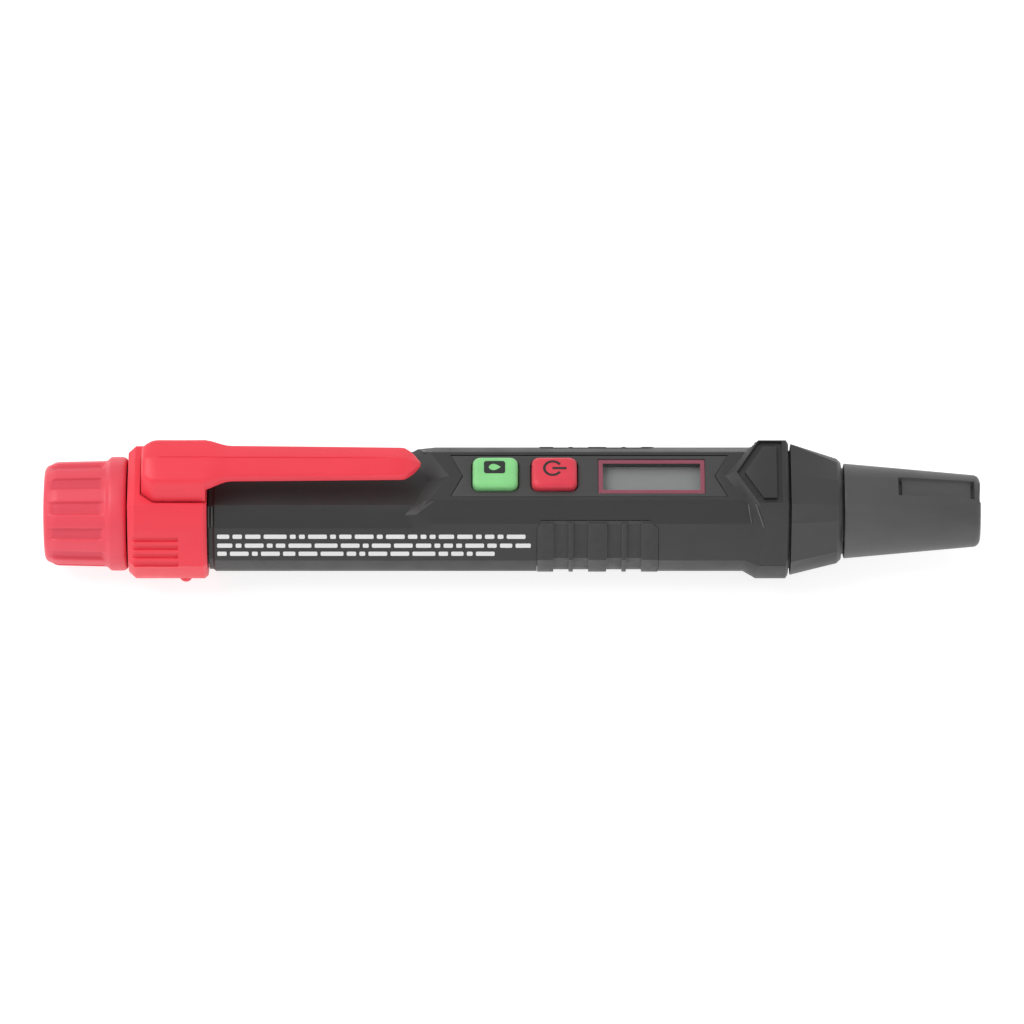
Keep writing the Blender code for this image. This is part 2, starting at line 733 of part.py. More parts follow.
def make_button(where, finish):
    """One rubber key with its retaining flange, the switch under it and the switch's plunger."""
    (x0, x1), (y0, y1) = button_footprint(where, 0.0)
    heights = (BUTTON_FLANGE[0] + 0.1, BUTTON_TOP)
    key = box(f"{where}_button", (x0, x1), (y0, y1), heights, finish, BUTTON_CORNER)
    join(key, box(f"{where}_flange", (x0 - 0.5, x1 + 0.5), (y0 - 0.4, y1 + 0.4), BUTTON_FLANGE))
    soften(key, 40.0)
    middle = BUTTON_X[where]
    board_top = BOARD[2][1]
    span = (middle - SWITCH_HALF, middle + SWITCH_HALF)
    heights = (board_top + 0.02, SWITCH_TOP)
    switch = box(f"{where}_switch", span, (-SWITCH_HALF, SWITCH_HALF), heights, "chip_black")
    cut(switch, post(f"{where}_switch_bore", middle, 0.0, (board_top + 0.25, 9.0), 1.25))
    heights = (board_top + 0.75, BUTTON_FLANGE[0] - 0.05)
    post(f"{where}_plunger", middle, 0.0, heights, 1.0, "white_plastic", 20)


def make_board():
    x, half, heights = BOARD
    box("main_board", x, (-half, half), heights, "board_green")
    under = heights[0] - 0.02
    box("controller_chip", (23.5, 29.5), (-3.0, 3.0), (under - 1.0, under), "chip_black")
    box("amplifier_chip", (31.5, 34.5), (-2.0, 2.0), (under - 0.9, under), "chip_black")
    box("electrode_connector", (35.6, 37.8), (-3.0, 3.0), (under - 2.2, under), "white_plastic")
    carrier = box("board_carrier", (18.0, 40.0), (-5.6, 5.6), (2.4, 3.2), "white_plastic")
    for i, corner in enumerate(((18.4, -5.0), (18.4, 5.0), (39.0, -5.0), (39.0, 5.0))):
        rise = box(
            f"carrier_post_{i}",
            (corner[0] - 0.4, corner[0] + 1.0),
            (corner[1] - 0.6, corner[1] + 0.6),
            (2.6, heights[0] - 0.05),
        )
        join(carrier, rise)
    for i, x in enumerate(SCREW_X):
        join(carrier, post(f"carrier_boss_{i}", x, 0.0, (-7.3, 2.6), 2.2))
    for i, x in enumerate(SCREW_X):
        cut(carrier, post(f"carrier_bore_{i}", x, 0.0, (-9.0, 0.0), 1.0))


# ---------------------------------------------------------------- battery train


def make_battery_train():
    """Battery tube with its threaded neck, the two cells, the contacts, and the screw cap."""
    flange = (-63.6, -62.8)
    mouth = CELL_REAR_END - 0.9
    profile = [
        (TUBE_END, 0.0),
        (TUBE_END, TUBE_OUTER),
        (flange[1], TUBE_OUTER),
        (flange[1], FLANGE_RADIUS),
        (flange[0], FLANGE_RADIUS),
        (flange[0], NECK_RADIUS),
        (mouth, NECK_RADIUS),
        (mouth, TUBE_INNER),
        (TUBE_END - 1.0, TUBE_INNER),
        (TUBE_END - 1.0, 0.0),
    ]
    turned("battery_tube", profile, "seal_rubber", BATTERY_AXIS)
    for i, label in enumerate(("rear", "front")):
        start = CELL_REAR_END + i * (CELL_LENGTH + 0.1)
        shoulder = start + CELL_LENGTH - 0.9
        cell = [
            (start + CELL_LENGTH, 0.0),
            (start + CELL_LENGTH, 1.9),
            (shoulder, 1.9),
            (shoulder, CELL_RADIUS - 0.4),
            (shoulder - 0.5, CELL_RADIUS),
            (start + 0.3, CELL_RADIUS),
            (start, CELL_RADIUS - 0.4),
            (start, 0.0),
        ]
        turned(f"battery_cell_{label}", cell, "cell_wrap", BATTERY_AXIS, segments=32)
    rod("front_contact", (14.5, 15.1), 4.0, "brass", BATTERY_AXIS, 24)
    box("return_strip", (-61.5, 12.0), (6.5, 6.75), (-2.1, 0.9), "brass")
    seal("tail_seal", CAP_MOUTH - 0.35, 7.5, 0.45, axis=BATTERY_AXIS)


def fluted_ring(x, radius, depth):
    """A round ring, or one with twelve shallow flutes when depth is over zero."""
    flutes = 12
    points = []
    for i in range(flutes):
        for degrees, share in ((-7.5, 0.0), (-6.5, 1.0), (0.0, 1.0), (6.5, 1.0), (7.5, 0.0), (15.0, 0.0)):
            angle = math.radians(30.0 * i + degrees)
            r = radius - depth * share
            points.append((x, r * math.sin(angle), BATTERY_AXIS + r * math.cos(angle)))
    return points


def make_battery_cap():
    rings = [
        fluted_ring(x, radius, depth)
        for x, radius, depth in (
            (TAIL, 4.6, 0.0),
            (TAIL + 0.3, 7.0, 0.0),
            (TAIL + 0.8, 8.0, 0.0),
            (TAIL + 1.5, 8.55, 0.1),
            (TAIL + 2.2, 8.8, 0.3),
            (TAIL + 3.5, 9.0, 0.35),
            (TAIL + 10.0, 9.05, 0.35),
            (TAIL + 10.6, 9.1, 0.1),
            (TAIL + 11.4, 9.65, 0.0),
            (TAIL + 12.0, 9.75, 0.0),
            (TAIL + 13.4, 9.75, 0.0),
            (CAP_MOUTH, 9.35, 0.0),
        )
    ]
    cap = loft("battery_cap", rings, "red_abs")
    bore = [
        (CAP_MOUTH + 1.0, 0.0),
        (CAP_MOUTH + 1.0, 8.15),
        (CAP_MOUTH - 1.0, 8.15),
        (CAP_MOUTH - 1.0, NECK_RADIUS + 0.5),
        (TAIL + 1.8, NECK_RADIUS + 0.5),
        (TAIL + 1.8, 0.0),
    ]
    cut(cap, turned("cap_bore", bore, None, BATTERY_AXIS))
    soften(cap)
    rod("cap_contact", (TAIL + 2.0, TAIL + 2.4), 5.0, "brass", BATTERY_AXIS, 24)
    coil("cap_spring", (TAIL + 2.8, CELL_REAR_END - 0.35), (4.2, 2.6), 0.25, 2.5, "steel")


# ---------------------------------------------------------------- nose and probe


def make_nose():
    """The nose cone with its plug, the gasket behind it, and the electrode assembly."""
    base = offset(half_section(NOSE_COLLAR), -0.6)
    rings = [
        ring(base, CONE[0]),
        ring(round_like(base, 9.0, PROBE_AXIS), CONE[1] - 0.7),
        ring(round_like(base, 8.3, PROBE_AXIS), CONE[1]),
    ]
    cone = loft("nose_cone", rings, "black_abs")
    plug = offset(half_section(BODY_FRONT), -WALL - FIT)
    join(cone, loft("nose_plug", [ring(plug, 41.0), ring(plug, CONE[0] + 0.5)]))
    join(cone, rod("nose_neck", (CONE[1] - 0.5, CONE[1] + 0.3), 7.4, axis=PROBE_AXIS))
    cut(cone, rod("nose_bore", (40.0, 58.0), 5.4, axis=PROBE_AXIS))
    soften(cone)
    gasket = offset(half_section(NOSE_COLLAR), -1.7)
    hole = offset(half_section(BODY_FRONT), -WALL + 0.15)
    skin = loft("nose_gasket", [ring(gasket, SHELL_END + 0.08), ring(gasket, CONE[0] - 0.08)], "seal_rubber")
    cut(skin, loft("gasket_hole", [ring(hole, SHELL_END - 1.0), ring(hole, CONE[0] + 1.0)]))


def make_probe():
    stem = 5.1
    groove = 5.4
    guard_end = 73.8
    profile = [
        (guard_end, 3.9),
        (guard_end, 4.5),
        (guard_end - 0.3, 4.75),
        (69.0, 5.2),
        (60.4, 6.0),
        (60.3, groove),
        (59.1, groove),
        (59.0, 6.2),
        (56.9, 6.35),
        (56.8, stem),
        (41.5, stem),
        (41.5, 2.9),
        (68.6, 2.9),
        (69.6, 3.9),
    ]
    body = turned("electrode_body", profile, "black_abs", PROBE_AXIS, ring=True)
    for i, (y, z) in enumerate((((-7.0, 7.0), (-1.3, 1.3)), ((-1.3, 1.3), (-7.0, 7.0)))):
        heights = (z[0] + PROBE_AXIS, z[1] + PROBE_AXIS)
        cut(body, box(f"guard_slot_{i}", (70.4, 76.0), y, heights))
    middle = 70.2
    bulb = [(middle + 3.2 * math.cos(a), 3.2 * math.sin(a)) for a in (math.pi * i / 14 for i in range(11))]
    hollow = [(middle + 2.7 * math.cos(a), 2.7 * math.sin(a)) for a in (math.pi * i / 14 for i in range(9))]
    glass = bulb + [(67.1, 2.35), (44.0, 2.35), (44.0, 1.85), (67.4, 1.85)] + hollow[::-1]
    turned("glass_electrode", glass, "glass", PROBE_AXIS, segments=32)
    rod("reference_wire", (43.0, 70.0), 0.4, "steel", PROBE_AXIS, 12)
    base = PROBE_AXIS + 3.4
    cut(body, post("junction_hole", 66.0, 0.0, (base - 0.1, 8.0), 0.85))
    post("reference_junction", 66.0, 0.0, (base, base + 1.95), 0.7, "ceramic", 16)
    seal("probe_seal", 59.7, 5.9, 0.4, axis=PROBE_AXIS)


def make_probe_cap():
    """The pull-off cap, with the lengthways channel that runs out through its end."""
    profile = [
        (TIP, 0.0),
        (TIP, 5.3),
        (TIP - 0.35, 5.85),
        (TIP - 1.1, 6.15),
        (PROBE_CAP_MOUTH + 0.15, 8.12),
        (PROBE_CAP_MOUTH, 8.0),
        (PROBE_CAP_MOUTH, 6.85),
        (78.0, 4.7),
        (78.6, 4.3),
        (78.6, 0.0),
    ]
    cap = turned("probe_cap", profile, "black_abs", PROBE_AXIS)
    turn = Matrix.Rotation(math.radians(-CHANNEL_TURN), 4, "X")
    about_axis = Matrix.Translation((0, 0, (AXIS_HEIGHT + PROBE_AXIS) * MM))
    start, end = CHANNEL_X
    outline = [(start, CHANNEL_FLOOR[0]), (end, CHANNEL_FLOOR[1]), (end, 12.0), (start, 12.0)]
    channel = plate("channel", outline, -CHANNEL_HALF, CHANNEL_HALF, along="Y")
    step = box("end_step", (TIP - 0.4, TIP + 1.0), (-CHANNEL_HALF, CHANNEL_HALF), (2.3, 12.0))
    for cutter in (channel, step):
        level = Matrix.Translation((0, 0, -AXIS_HEIGHT * MM)) @ cutter.matrix_world
        cutter.matrix_world = about_axis @ turn @ level
    cut(cap, channel, step)


def main():
    pockets = []
    for label, side in (("left", -1), ("right", 1)):
        make_grip(label, side)
        pockets.append(make_pocket(label, side))
    make_shells(pockets)
    make_screws()
    make_tail_collar()
    make_clip()
    make_display()
    make_button("function", "green_rubber")
    make_button("power", "red_rubber")
    make_board()
    make_battery_train()
    make_battery_cap()
    make_nose()
    make_probe()
    make_probe_cap()


clear_scene()
PARTS = new_collection("ph_meter")
CUTTERS = new_collection("cutters")
MATERIALS = make_materials()
main()
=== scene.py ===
"""The looks of the pen-type pH meter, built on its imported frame.

The frame is in metres. Shapes are given in millimetres, which MM turns into metres, and angles in degrees.
The pen lies along x, its screw cap at the low end. Heights are from its long axis unless a comment says
otherwise.
"""

import json
import math
import random

import bmesh
import bpy
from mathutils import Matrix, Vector
from mathutils.bvhtree import BVHTree


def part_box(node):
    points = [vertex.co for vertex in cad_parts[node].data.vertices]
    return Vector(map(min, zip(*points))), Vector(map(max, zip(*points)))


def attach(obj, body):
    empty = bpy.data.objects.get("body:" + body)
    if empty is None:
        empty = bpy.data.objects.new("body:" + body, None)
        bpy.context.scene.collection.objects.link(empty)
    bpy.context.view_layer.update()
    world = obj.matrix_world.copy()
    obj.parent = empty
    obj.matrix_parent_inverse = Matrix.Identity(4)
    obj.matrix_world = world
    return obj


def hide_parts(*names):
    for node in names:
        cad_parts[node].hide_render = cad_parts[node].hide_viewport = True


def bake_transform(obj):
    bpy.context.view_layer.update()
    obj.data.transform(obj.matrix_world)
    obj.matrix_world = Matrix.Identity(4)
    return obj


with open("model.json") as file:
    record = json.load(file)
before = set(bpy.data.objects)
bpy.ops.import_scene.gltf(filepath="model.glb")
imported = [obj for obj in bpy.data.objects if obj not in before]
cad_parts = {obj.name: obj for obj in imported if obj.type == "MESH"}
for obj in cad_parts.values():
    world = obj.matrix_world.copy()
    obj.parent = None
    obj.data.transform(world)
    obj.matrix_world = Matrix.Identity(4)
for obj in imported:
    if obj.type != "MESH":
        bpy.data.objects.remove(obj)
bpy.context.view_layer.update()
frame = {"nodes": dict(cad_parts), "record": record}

NODES = frame["nodes"]
MM = 0.001

# The pen's long axis, from the frame: the collars lie on the floor, the probe cap is round about the axis
PROBE_LOW, PROBE_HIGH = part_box("probe_cap")
PROBE_AXIS = (PROBE_LOW.z + PROBE_HIGH.z) / 2
AXIS = PROBE_AXIS - 0.3 * MM
CAP_LOW, CAP_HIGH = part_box("battery_cap")
BATTERY_AXIS = (CAP_LOW.z + CAP_HIGH.z) / 2

BODY_OF = {node: body for body, nodes in frame["record"]["behaviour"]["bodies"].items() for node in nodes}
SLOT_OF = {entry["node"]: entry["material_slot"] for entry in frame["record"]["subparts"]}


# ---------------------------------------------------------------- materials


def new_material(name):
    material = bpy.data.materials.new(name)
    material.use_nodes = True
    nodes = material.node_tree.nodes
    links = material.node_tree.links
    return material, nodes, links, nodes["Principled BSDF"]


def noise(nodes, links, scale, detail=3.0, roughness=0.5, stretch=(1.0, 1.0, 1.0)):
    """A noise texture in object coordinates, stretched along the axes."""
    coordinates = nodes.new("ShaderNodeTexCoord")
    mapping = nodes.new("ShaderNodeMapping")
    mapping.inputs["Scale"].default_value = stretch
    links.new(coordinates.outputs["Object"], mapping.inputs["Vector"])
    texture = nodes.new("ShaderNodeTexNoise")
    texture.inputs["Scale"].default_value = scale
    texture.inputs["Detail"].default_value = detail
    texture.inputs["Roughness"].default_value = roughness
    links.new(mapping.outputs["Vector"], texture.inputs["Vector"])
    return texture


def ramp(nodes, links, source, stops):
    """A colour ramp over a texture's factor. Stops hold (position, value or colour)."""
    made = nodes.new("ShaderNodeValToRGB")
    elements = made.color_ramp.elements
    while len(elements) < len(stops):
        elements.new(0.5)
    for element, (position, value) in zip(elements, stops):
        element.position = position
        element.color = (*value, 1.0) if isinstance(value, tuple) else (value, value, value, 1.0)
    links.new(source.outputs[0], made.inputs["Fac"])
    return made


def drive(nodes, links, shader, socket, texture, stops):
    """Sets one of the shader's inputs from a texture, through a ramp with these stops."""
    links.new(ramp(nodes, links, texture, stops).outputs["Color"], shader.inputs[socket])


def bump(nodes, links, shader, layers):
    """Stacks bump layers, each (texture, strength, distance in metres), on the shader's normal."""
    last = None
    for texture, strength, distance in layers:
        made = nodes.new("ShaderNodeBump")
        made.inputs["Strength"].default_value = strength
        made.inputs["Distance"].default_value = distance
        links.new(texture.outputs[0], made.inputs["Height"])
        if last is not None:
            links.new(last.outputs["Normal"], made.inputs["Normal"])
        last = made
    links.new(last.outputs["Normal"], shader.inputs["Normal"])


# Bump heights
GRAIN_HEIGHT = 0.03 * MM
SINK_HEIGHT = 0.2 * MM
STREAK_HEIGHT = 0.02 * MM


def shade(colour, factor):
    return tuple(min(1.0, channel * factor) for channel in colour)


def moulded_plastic(name, colour, roughness, grain=0.25, mottling=0.12, specular=0.5):
    """Injection-moulded plastic: faint flow mottling, a fine spark-eroded grain and handled, uneven gloss."""
    material, nodes, links, shader = new_material(name)
    shader.inputs["Specular IOR Level"].default_value = specular
    flow = noise(nodes, links, 90.0, 4.0, 0.55, (0.35, 1.0, 1.0))
    colours = [(0.3, shade(colour, 1.0 - mottling)), (0.7, shade(colour, 1.0 + mottling))]
    drive(nodes, links, shader, "Base Color", flow, colours)
    handled = noise(nodes, links, 210.0, 5.0, 0.6)
    drive(nodes, links, shader, "Roughness", handled, [(0.25, roughness - 0.05), (0.75, roughness + 0.06)])
    fine = noise(nodes, links, 5200.0, 2.0, 0.5)
    sink = noise(nodes, links, 160.0, 2.0, 0.4)
    bump(nodes, links, shader, [(fine, grain, GRAIN_HEIGHT), (sink, 0.12, SINK_HEIGHT)])
    return material


def rubber(name, colour, roughness, grain=0.3, subsurface=0.0):
    """Soft key or grip rubber: dull, with a fine dusty grain and a soft sheen."""
    material, nodes, links, shader = new_material(name)
    shader.inputs["Specular IOR Level"].default_value = 0.35
    shader.inputs["Sheen Weight"].default_value = 0.12
    shader.inputs["Sheen Roughness"].default_value = 0.5
    if subsurface:
        shader.inputs["Subsurface Weight"].default_value = subsurface
        shader.inputs["Subsurface Scale"].default_value = 0.0006
    cloud = noise(nodes, links, 260.0, 4.0, 0.6)
    colours = [(0.3, shade(colour, 0.93)), (0.7, shade(colour, 1.06))]
    drive(nodes, links, shader, "Base Color", cloud, colours)
    dust = noise(nodes, links, 900.0, 3.0, 0.6)
    drive(nodes, links, shader, "Roughness", dust, [(0.3, roughness - 0.06), (0.7, roughness + 0.08)])
    bump(nodes, links, shader, [(noise(nodes, links, 4200.0, 2.0), grain, GRAIN_HEIGHT)])
    return material


def metal(name, colour, roughness, stretch=(1.0, 1.0, 1.0)):
    """Drawn or turned metal with fine streaks."""
    material, nodes, links, shader = new_material(name)
    shader.inputs["Metallic"].default_value = 1.0
    streaks = noise(nodes, links, 900.0, 4.0, 0.6, stretch)
    colours = [(0.3, shade(colour, 0.85)), (0.7, shade(colour, 1.08))]
    drive(nodes, links, shader, "Base Color", streaks, colours)
    drive(nodes, links, shader, "Roughness", streaks, [(0.3, roughness - 0.08), (0.7, roughness + 0.1)])
    bump(nodes, links, shader, [(streaks, 0.15, STREAK_HEIGHT)])
    return material


def clear(name, colour, roughness, ior):
    """Clear glass or plastic with faint smears."""
    material, nodes, links, shader = new_material(name)
    shader.inputs["Transmission Weight"].default_value = 1.0
    shader.inputs["IOR"].default_value = ior
    smear = noise(nodes, links, 120.0, 4.0, 0.6)
    tints = [(0.3, shade(colour, 0.97)), (0.7, colour)]
    drive(nodes, links, shader, "Base Color", smear, tints)
    drive(nodes, links, shader, "Roughness", smear, [(0.35, roughness), (0.75, roughness + 0.05)])
    return material


def thin_window(name):
    """A thin clear sheet: it lets the light through to the display and keeps its own soft gloss."""
    material, nodes, links, shader = new_material(name)
    shader.inputs["Alpha"].default_value = 0.06
    smear = noise(nodes, links, 120.0, 4.0, 0.6)
    tints = [(0.3, (0.10, 0.11, 0.11)), (0.7, (0.13, 0.14, 0.14))]
    drive(nodes, links, shader, "Base Color", smear, tints)
    drive(nodes, links, shader, "Roughness", smear, [(0.35, 0.12), (0.75, 0.18)])
    return material


def display_grey(name):
    """A blank reflective display: grey, with painted light that makes it paler and bluer towards its near edge,
    and a faint weave in its gloss.
    """
    material, nodes, links, shader = new_material(name)
    low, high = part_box("lcd_panel")
    coordinates = nodes.new("ShaderNodeTexCoord")
    parts = nodes.new("ShaderNodeSeparateXYZ")
    links.new(coordinates.outputs["Object"], parts.inputs["Vector"])
    near_edge_light = nodes.new("ShaderNodeMapRange")
    near_edge_light.inputs["From Min"].default_value = low.y
    near_edge_light.inputs["From Max"].default_value = high.y
    links.new(parts.outputs["Y"], near_edge_light.inputs["Value"])
    # The paler, bluer tone at the near edge is painted light
    tones = [(0.0, (0.32, 0.375, 0.40)), (0.3, (0.265, 0.272, 0.275)), (0.8, (0.262, 0.268, 0.262))]
    drive(nodes, links, shader, "Base Color", near_edge_light, tones)
    weave = noise(nodes, links, 3000.0, 2.0)
    drive(nodes, links, shader, "Roughness", weave, [(0.3, 0.3), (0.7, 0.38)])
    return material


def wrapped_cell(name, colour):
    """A cell's printed sleeve: satin, with soft light and dark patches."""
    material, nodes, links, shader = new_material(name)
    shader.inputs["Metallic"].default_value = 0.4
    cloud = noise(nodes, links, 150.0, 3.0)
    tones = [(0.3, shade(colour, 0.8)), (0.7, shade(colour, 1.2))]
    drive(nodes, links, shader, "Base Color", cloud, tones)
    drive(nodes, links, shader, "Roughness", cloud, [(0.3, 0.25), (0.7, 0.38)])
    return material


def circuit_board(name):
    """Solder mask over copper: darker and lighter greens in straight blocks."""
    material, nodes, links, shader = new_material(name)
    coordinates = nodes.new("ShaderNodeTexCoord")
    bricks = nodes.new("ShaderNodeTexBrick")
    bricks.inputs["Scale"].default_value = 700.0
    bricks.inputs["Mortar Size"].default_value = 0.03
    bricks.inputs["Color1"].default_value = (0.012, 0.14, 0.06, 1.0)
    bricks.inputs["Color2"].default_value = (0.02, 0.19, 0.08, 1.0)
    bricks.inputs["Mortar"].default_value = (0.05, 0.30, 0.12, 1.0)
    links.new(coordinates.outputs["Object"], bricks.inputs["Vector"])
    links.new(bricks.outputs["Color"], shader.inputs["Base Color"])
    cloud = noise(nodes, links, 400.0, 3.0)
    drive(nodes, links, shader, "Roughness", cloud, [(0.3, 0.3), (0.7, 0.42)])
    bump(nodes, links, shader, [(bricks, 0.2, GRAIN_HEIGHT)])
    return material


BLACK = (0.0215, 0.0215, 0.0215)
RED = (0.78, 0.038, 0.062)

FINISHES = {
    "black_abs": moulded_plastic("black_abs", BLACK, 0.50, 0.3),
    # A lighter copy of the black plastic: a painted highlight on rounded edges and on the ramp wedges
    "black_edge_highlight": moulded_plastic("black_edge_highlight", (0.048, 0.048, 0.048), 0.42, 0.1),
    # A lighter grey for the neck ribs and fold lines: a painted highlight along them
    "rib_highlight": moulded_plastic("rib_highlight", (0.085, 0.085, 0.085), 0.42, 0.1),
    "cap_abs": moulded_plastic("cap_abs", (0.064, 0.064, 0.064), 0.48, 0.5, 0.2),
    "cone_abs": moulded_plastic("cone_abs", (0.034, 0.034, 0.034), 0.48, 0.4, 0.12),
    "knob_abs": moulded_plastic("knob_abs", (0.74, 0.060, 0.092), 0.46, 0.2, 0.06, 0.45),
    # A darker copy of the knob's red for the flute floors: painted shade in the hollows
    "flute_shade": moulded_plastic("flute_shade", (0.67, 0.055, 0.086), 0.5, 0.2, 0.06, 0.4),
    "red_abs": moulded_plastic("red_abs", RED, 0.42, 0.2, 0.05, 0.4),
    # A lighter copy of the red plastic: a painted highlight on the collar's rounded edges
    "red_edge_highlight": moulded_plastic("red_edge_highlight", (0.82, 0.06, 0.085), 0.38, 0.1, 0.04, 0.4),
    "red_rubber": rubber("red_rubber", (0.68, 0.038, 0.066), 0.45, 0.2, 0.05),
    "green_rubber": rubber("green_rubber", (0.22, 0.60, 0.225), 0.45, 0.2, 0.05),
    "grip_rubber": rubber("grip_rubber", (0.032, 0.032, 0.032), 0.55),
    # A lighter copy of the grip rubber: a painted highlight on the grips' rounded edges
    "grip_edge_highlight": rubber("grip_edge_highlight", (0.055, 0.055, 0.055), 0.5, 0.1),
    "overlay_film": moulded_plastic("overlay_film", (0.040, 0.040, 0.040), 0.42, 0.35, 0.05),
    "border_ink": moulded_plastic("border_ink", (0.30, 0.055, 0.095), 0.4, 0.2),
    "key_print": moulded_plastic("key_print", (0.010, 0.014, 0.013), 0.55, 0.1),
    "white_print": moulded_plastic("white_print", (0.70, 0.70, 0.70), 0.6, 0.1, 0.04),
    "clear_plastic": thin_window("clear_plastic"),
    "lcd_grey": display_grey("lcd_grey"),
    "white_plastic": moulded_plastic("white_plastic", (0.72, 0.72, 0.70), 0.45, 0.2, 0.03),
    "seal_rubber": rubber("seal_rubber", (0.012, 0.012, 0.012), 0.5),
    "black_nylon": moulded_plastic("black_nylon", (0.015, 0.015, 0.016), 0.38),
    "board_green": circuit_board("board_green"),
    "chip_black": moulded_plastic("chip_black", (0.015, 0.015, 0.016), 0.5, 0.4),
    "steel": metal("steel", (0.60, 0.60, 0.61), 0.3),
    "brass": metal("brass", (0.72, 0.50, 0.20), 0.3, (0.2, 1.0, 1.0)),
    "cell_wrap": wrapped_cell("cell_wrap", (0.05, 0.09, 0.22)),
    "glass": clear("glass", (0.93, 0.97, 0.96), 0.02, 1.5),
    "ceramic": moulded_plastic("ceramic", (0.78, 0.75, 0.68), 0.7, 0.5),
}


# ---------------------------------------------------------------- pieces


# Vertices nearer than these are welded, in new meshes and in the frame's
WELD = 0.0005 * MM
CAD_WELD = 0.002 * MM


def placed(name, shape):
    """Turns a bmesh into a linked object, and frees it."""
    mesh = bpy.data.meshes.new(name)
    shape.to_mesh(mesh)
    shape.free()
    made = bpy.data.objects.new(name, mesh)
    bpy.context.scene.collection.objects.link(made)
    return made


def finish_piece(piece, node, finishes, body=None):
    """Gives a piece its materials and its body."""
    piece.data.materials.clear()
    for finish in finishes:
        piece.data.materials.append(FINISHES[finish])
    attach(piece, body or BODY_OF[node])
    return piece


def pen_point(x, y, height):
    """A point given in millimetres, its height measured from the pen's axis."""
    return Vector((x * MM, y * MM, AXIS + height * MM))


def skin_through(name, rows):
    """A closed smooth mesh through rings of equal length."""
    shape = bmesh.new()
    grid = [[shape.verts.new(point) for point in row] for row in rows]
    count = len(grid[0])
    for row, following in zip(grid, grid[1:]):
        for i in range(count):
            j = (i + 1) % count
            shape.faces.new((row[i], row[j], following[j], following[i]))
    shape.faces.new(grid[0][::-1])
    shape.faces.new(grid[-1])
    bmesh.ops.remove_doubles(shape, verts=shape.verts, dist=WELD)
    bmesh.ops.recalc_face_normals(shape, faces=shape.faces)
    made = placed(name, shape)
    made.data.shade_smooth()
    return made


def keep_creases(piece, angle):
    """Smooth shading that still breaks at edges sharper than the angle, in degrees."""
    shape = bmesh.new()
    shape.from_mesh(piece.data)
    for edge in shape.edges:
        edge.smooth = len(edge.link_faces) == 2 and edge.calc_face_angle(0.0) < math.radians(angle)
    shape.to_mesh(piece.data)
    shape.free()
    return piece


def add_rounding(piece, width_mm, angle, segments, material):
    """Rounds the edges sharper than the angle. The piece's finish of that number shows along them."""
    rounding = piece.modifiers.new("rounding", "BEVEL")
    rounding.width = width_mm * MM
    rounding.segments = segments
    rounding.limit_method = "ANGLE"
    rounding.angle_limit = math.radians(angle)
    rounding.miter_outer = "MITER_SHARP"
    rounding.use_clamp_overlap = True
    rounding.harden_normals = True
    rounding.material = material
    return piece


# Faces that meet at less than FLAT_ANGLE are joined, and edges sharper than SOFT_ANGLE are rounded
FLAT_ANGLE = 0.2
SOFT_ANGLE = 22.0
SOFT_SEGMENTS = 3


def cleaned_copy(node):
    """The node with its vertices welded and its flat areas joined into single faces."""
    shape = bmesh.new()
    shape.from_mesh(NODES[node].data)
    bmesh.ops.remove_doubles(shape, verts=shape.verts, dist=CAD_WELD)
    flat = math.radians(FLAT_ANGLE)
    bmesh.ops.dissolve_limit(shape, angle_limit=flat, verts=shape.verts, edges=shape.edges)
    return placed(node + "_skin", shape)


def soft_edged(node, finishes, width_mm):
    """The node with the edge radii of a moulding, as wide as its shortest edges let them be. Its last finish
    goes on the rounded edges; where that is a lighter copy of the first, it is a painted highlight.
    """
    piece = cleaned_copy(node)
    piece.data.shade_smooth()
    add_rounding(piece, width_mm, SOFT_ANGLE, SOFT_SEGMENTS, len(finishes) - 1)
    finish_piece(piece, node, finishes)
    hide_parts(node)
    return piece


def make_casing():
    # Where a piece has two finishes, the second is a lighter copy of the first, a painted highlight along its
    # rounded edges
    for node in ("front_shell", "rear_shell"):
        soft_edged(node, ["black_abs", "black_edge_highlight"], 0.14)
    soft_edged("nose_cone", ["cone_abs", "black_edge_highlight"], 0.2)
    soft_edged("electrode_body", ["black_abs", "black_edge_highlight"], 0.1)
    for node in ("grip_left", "grip_right"):
        soft_edged(node, ["grip_rubber", "grip_edge_highlight"], 0.09)
    soft_edged("face_overlay", ["overlay_film"], 0.05)
    soft_edged("tail_collar", ["red_abs", "red_edge_highlight"], 0.2)


# ---------------------------------------------------------------- knob and probe cap


def arc(centre, radius, start, end, steps):
    """Points (x, r) on a rounded part of a turned profile; angles in degrees from the x axis."""
    points = []
    for k in range(steps + 1):
        angle = math.radians(start + (end - start) * k / steps)
        points.append((centre[0] + radius * math.cos(angle), centre[1] + radius * math.sin(angle)))
    return points


def smooth_step(value, low, high):
    share = min(1.0, max(0.0, (value - low) / (high - low)))
    return share * share * (3.0 - 2.0 * share)


# The screw cap. Rays are angles from the middle of a flute at which the skin has a vertex
FLUTES = 12
FLUTE_STEP = 30.0
FLUTE_DEPTH = 0.5
FLUTE_HALF = 6.9
FLUTE_WALL = 1.4
FLUTE_X = (-78.6, -69.7)
KNOB_BORE = 8.0
FLUTE_RAYS = (2.6, 5.2, 5.8, 6.4, 6.9, 7.4, 8.0, 8.6, 11.5)


def flute_angles():
    """Angles round the knob in degrees, close together at the flutes' edges."""
    pattern = (-FLUTE_STEP / 2, *[-ray for ray in reversed(FLUTE_RAYS)], 0.0, *FLUTE_RAYS)
    return [FLUTE_STEP * i + offset for i in range(FLUTES) for offset in pattern]


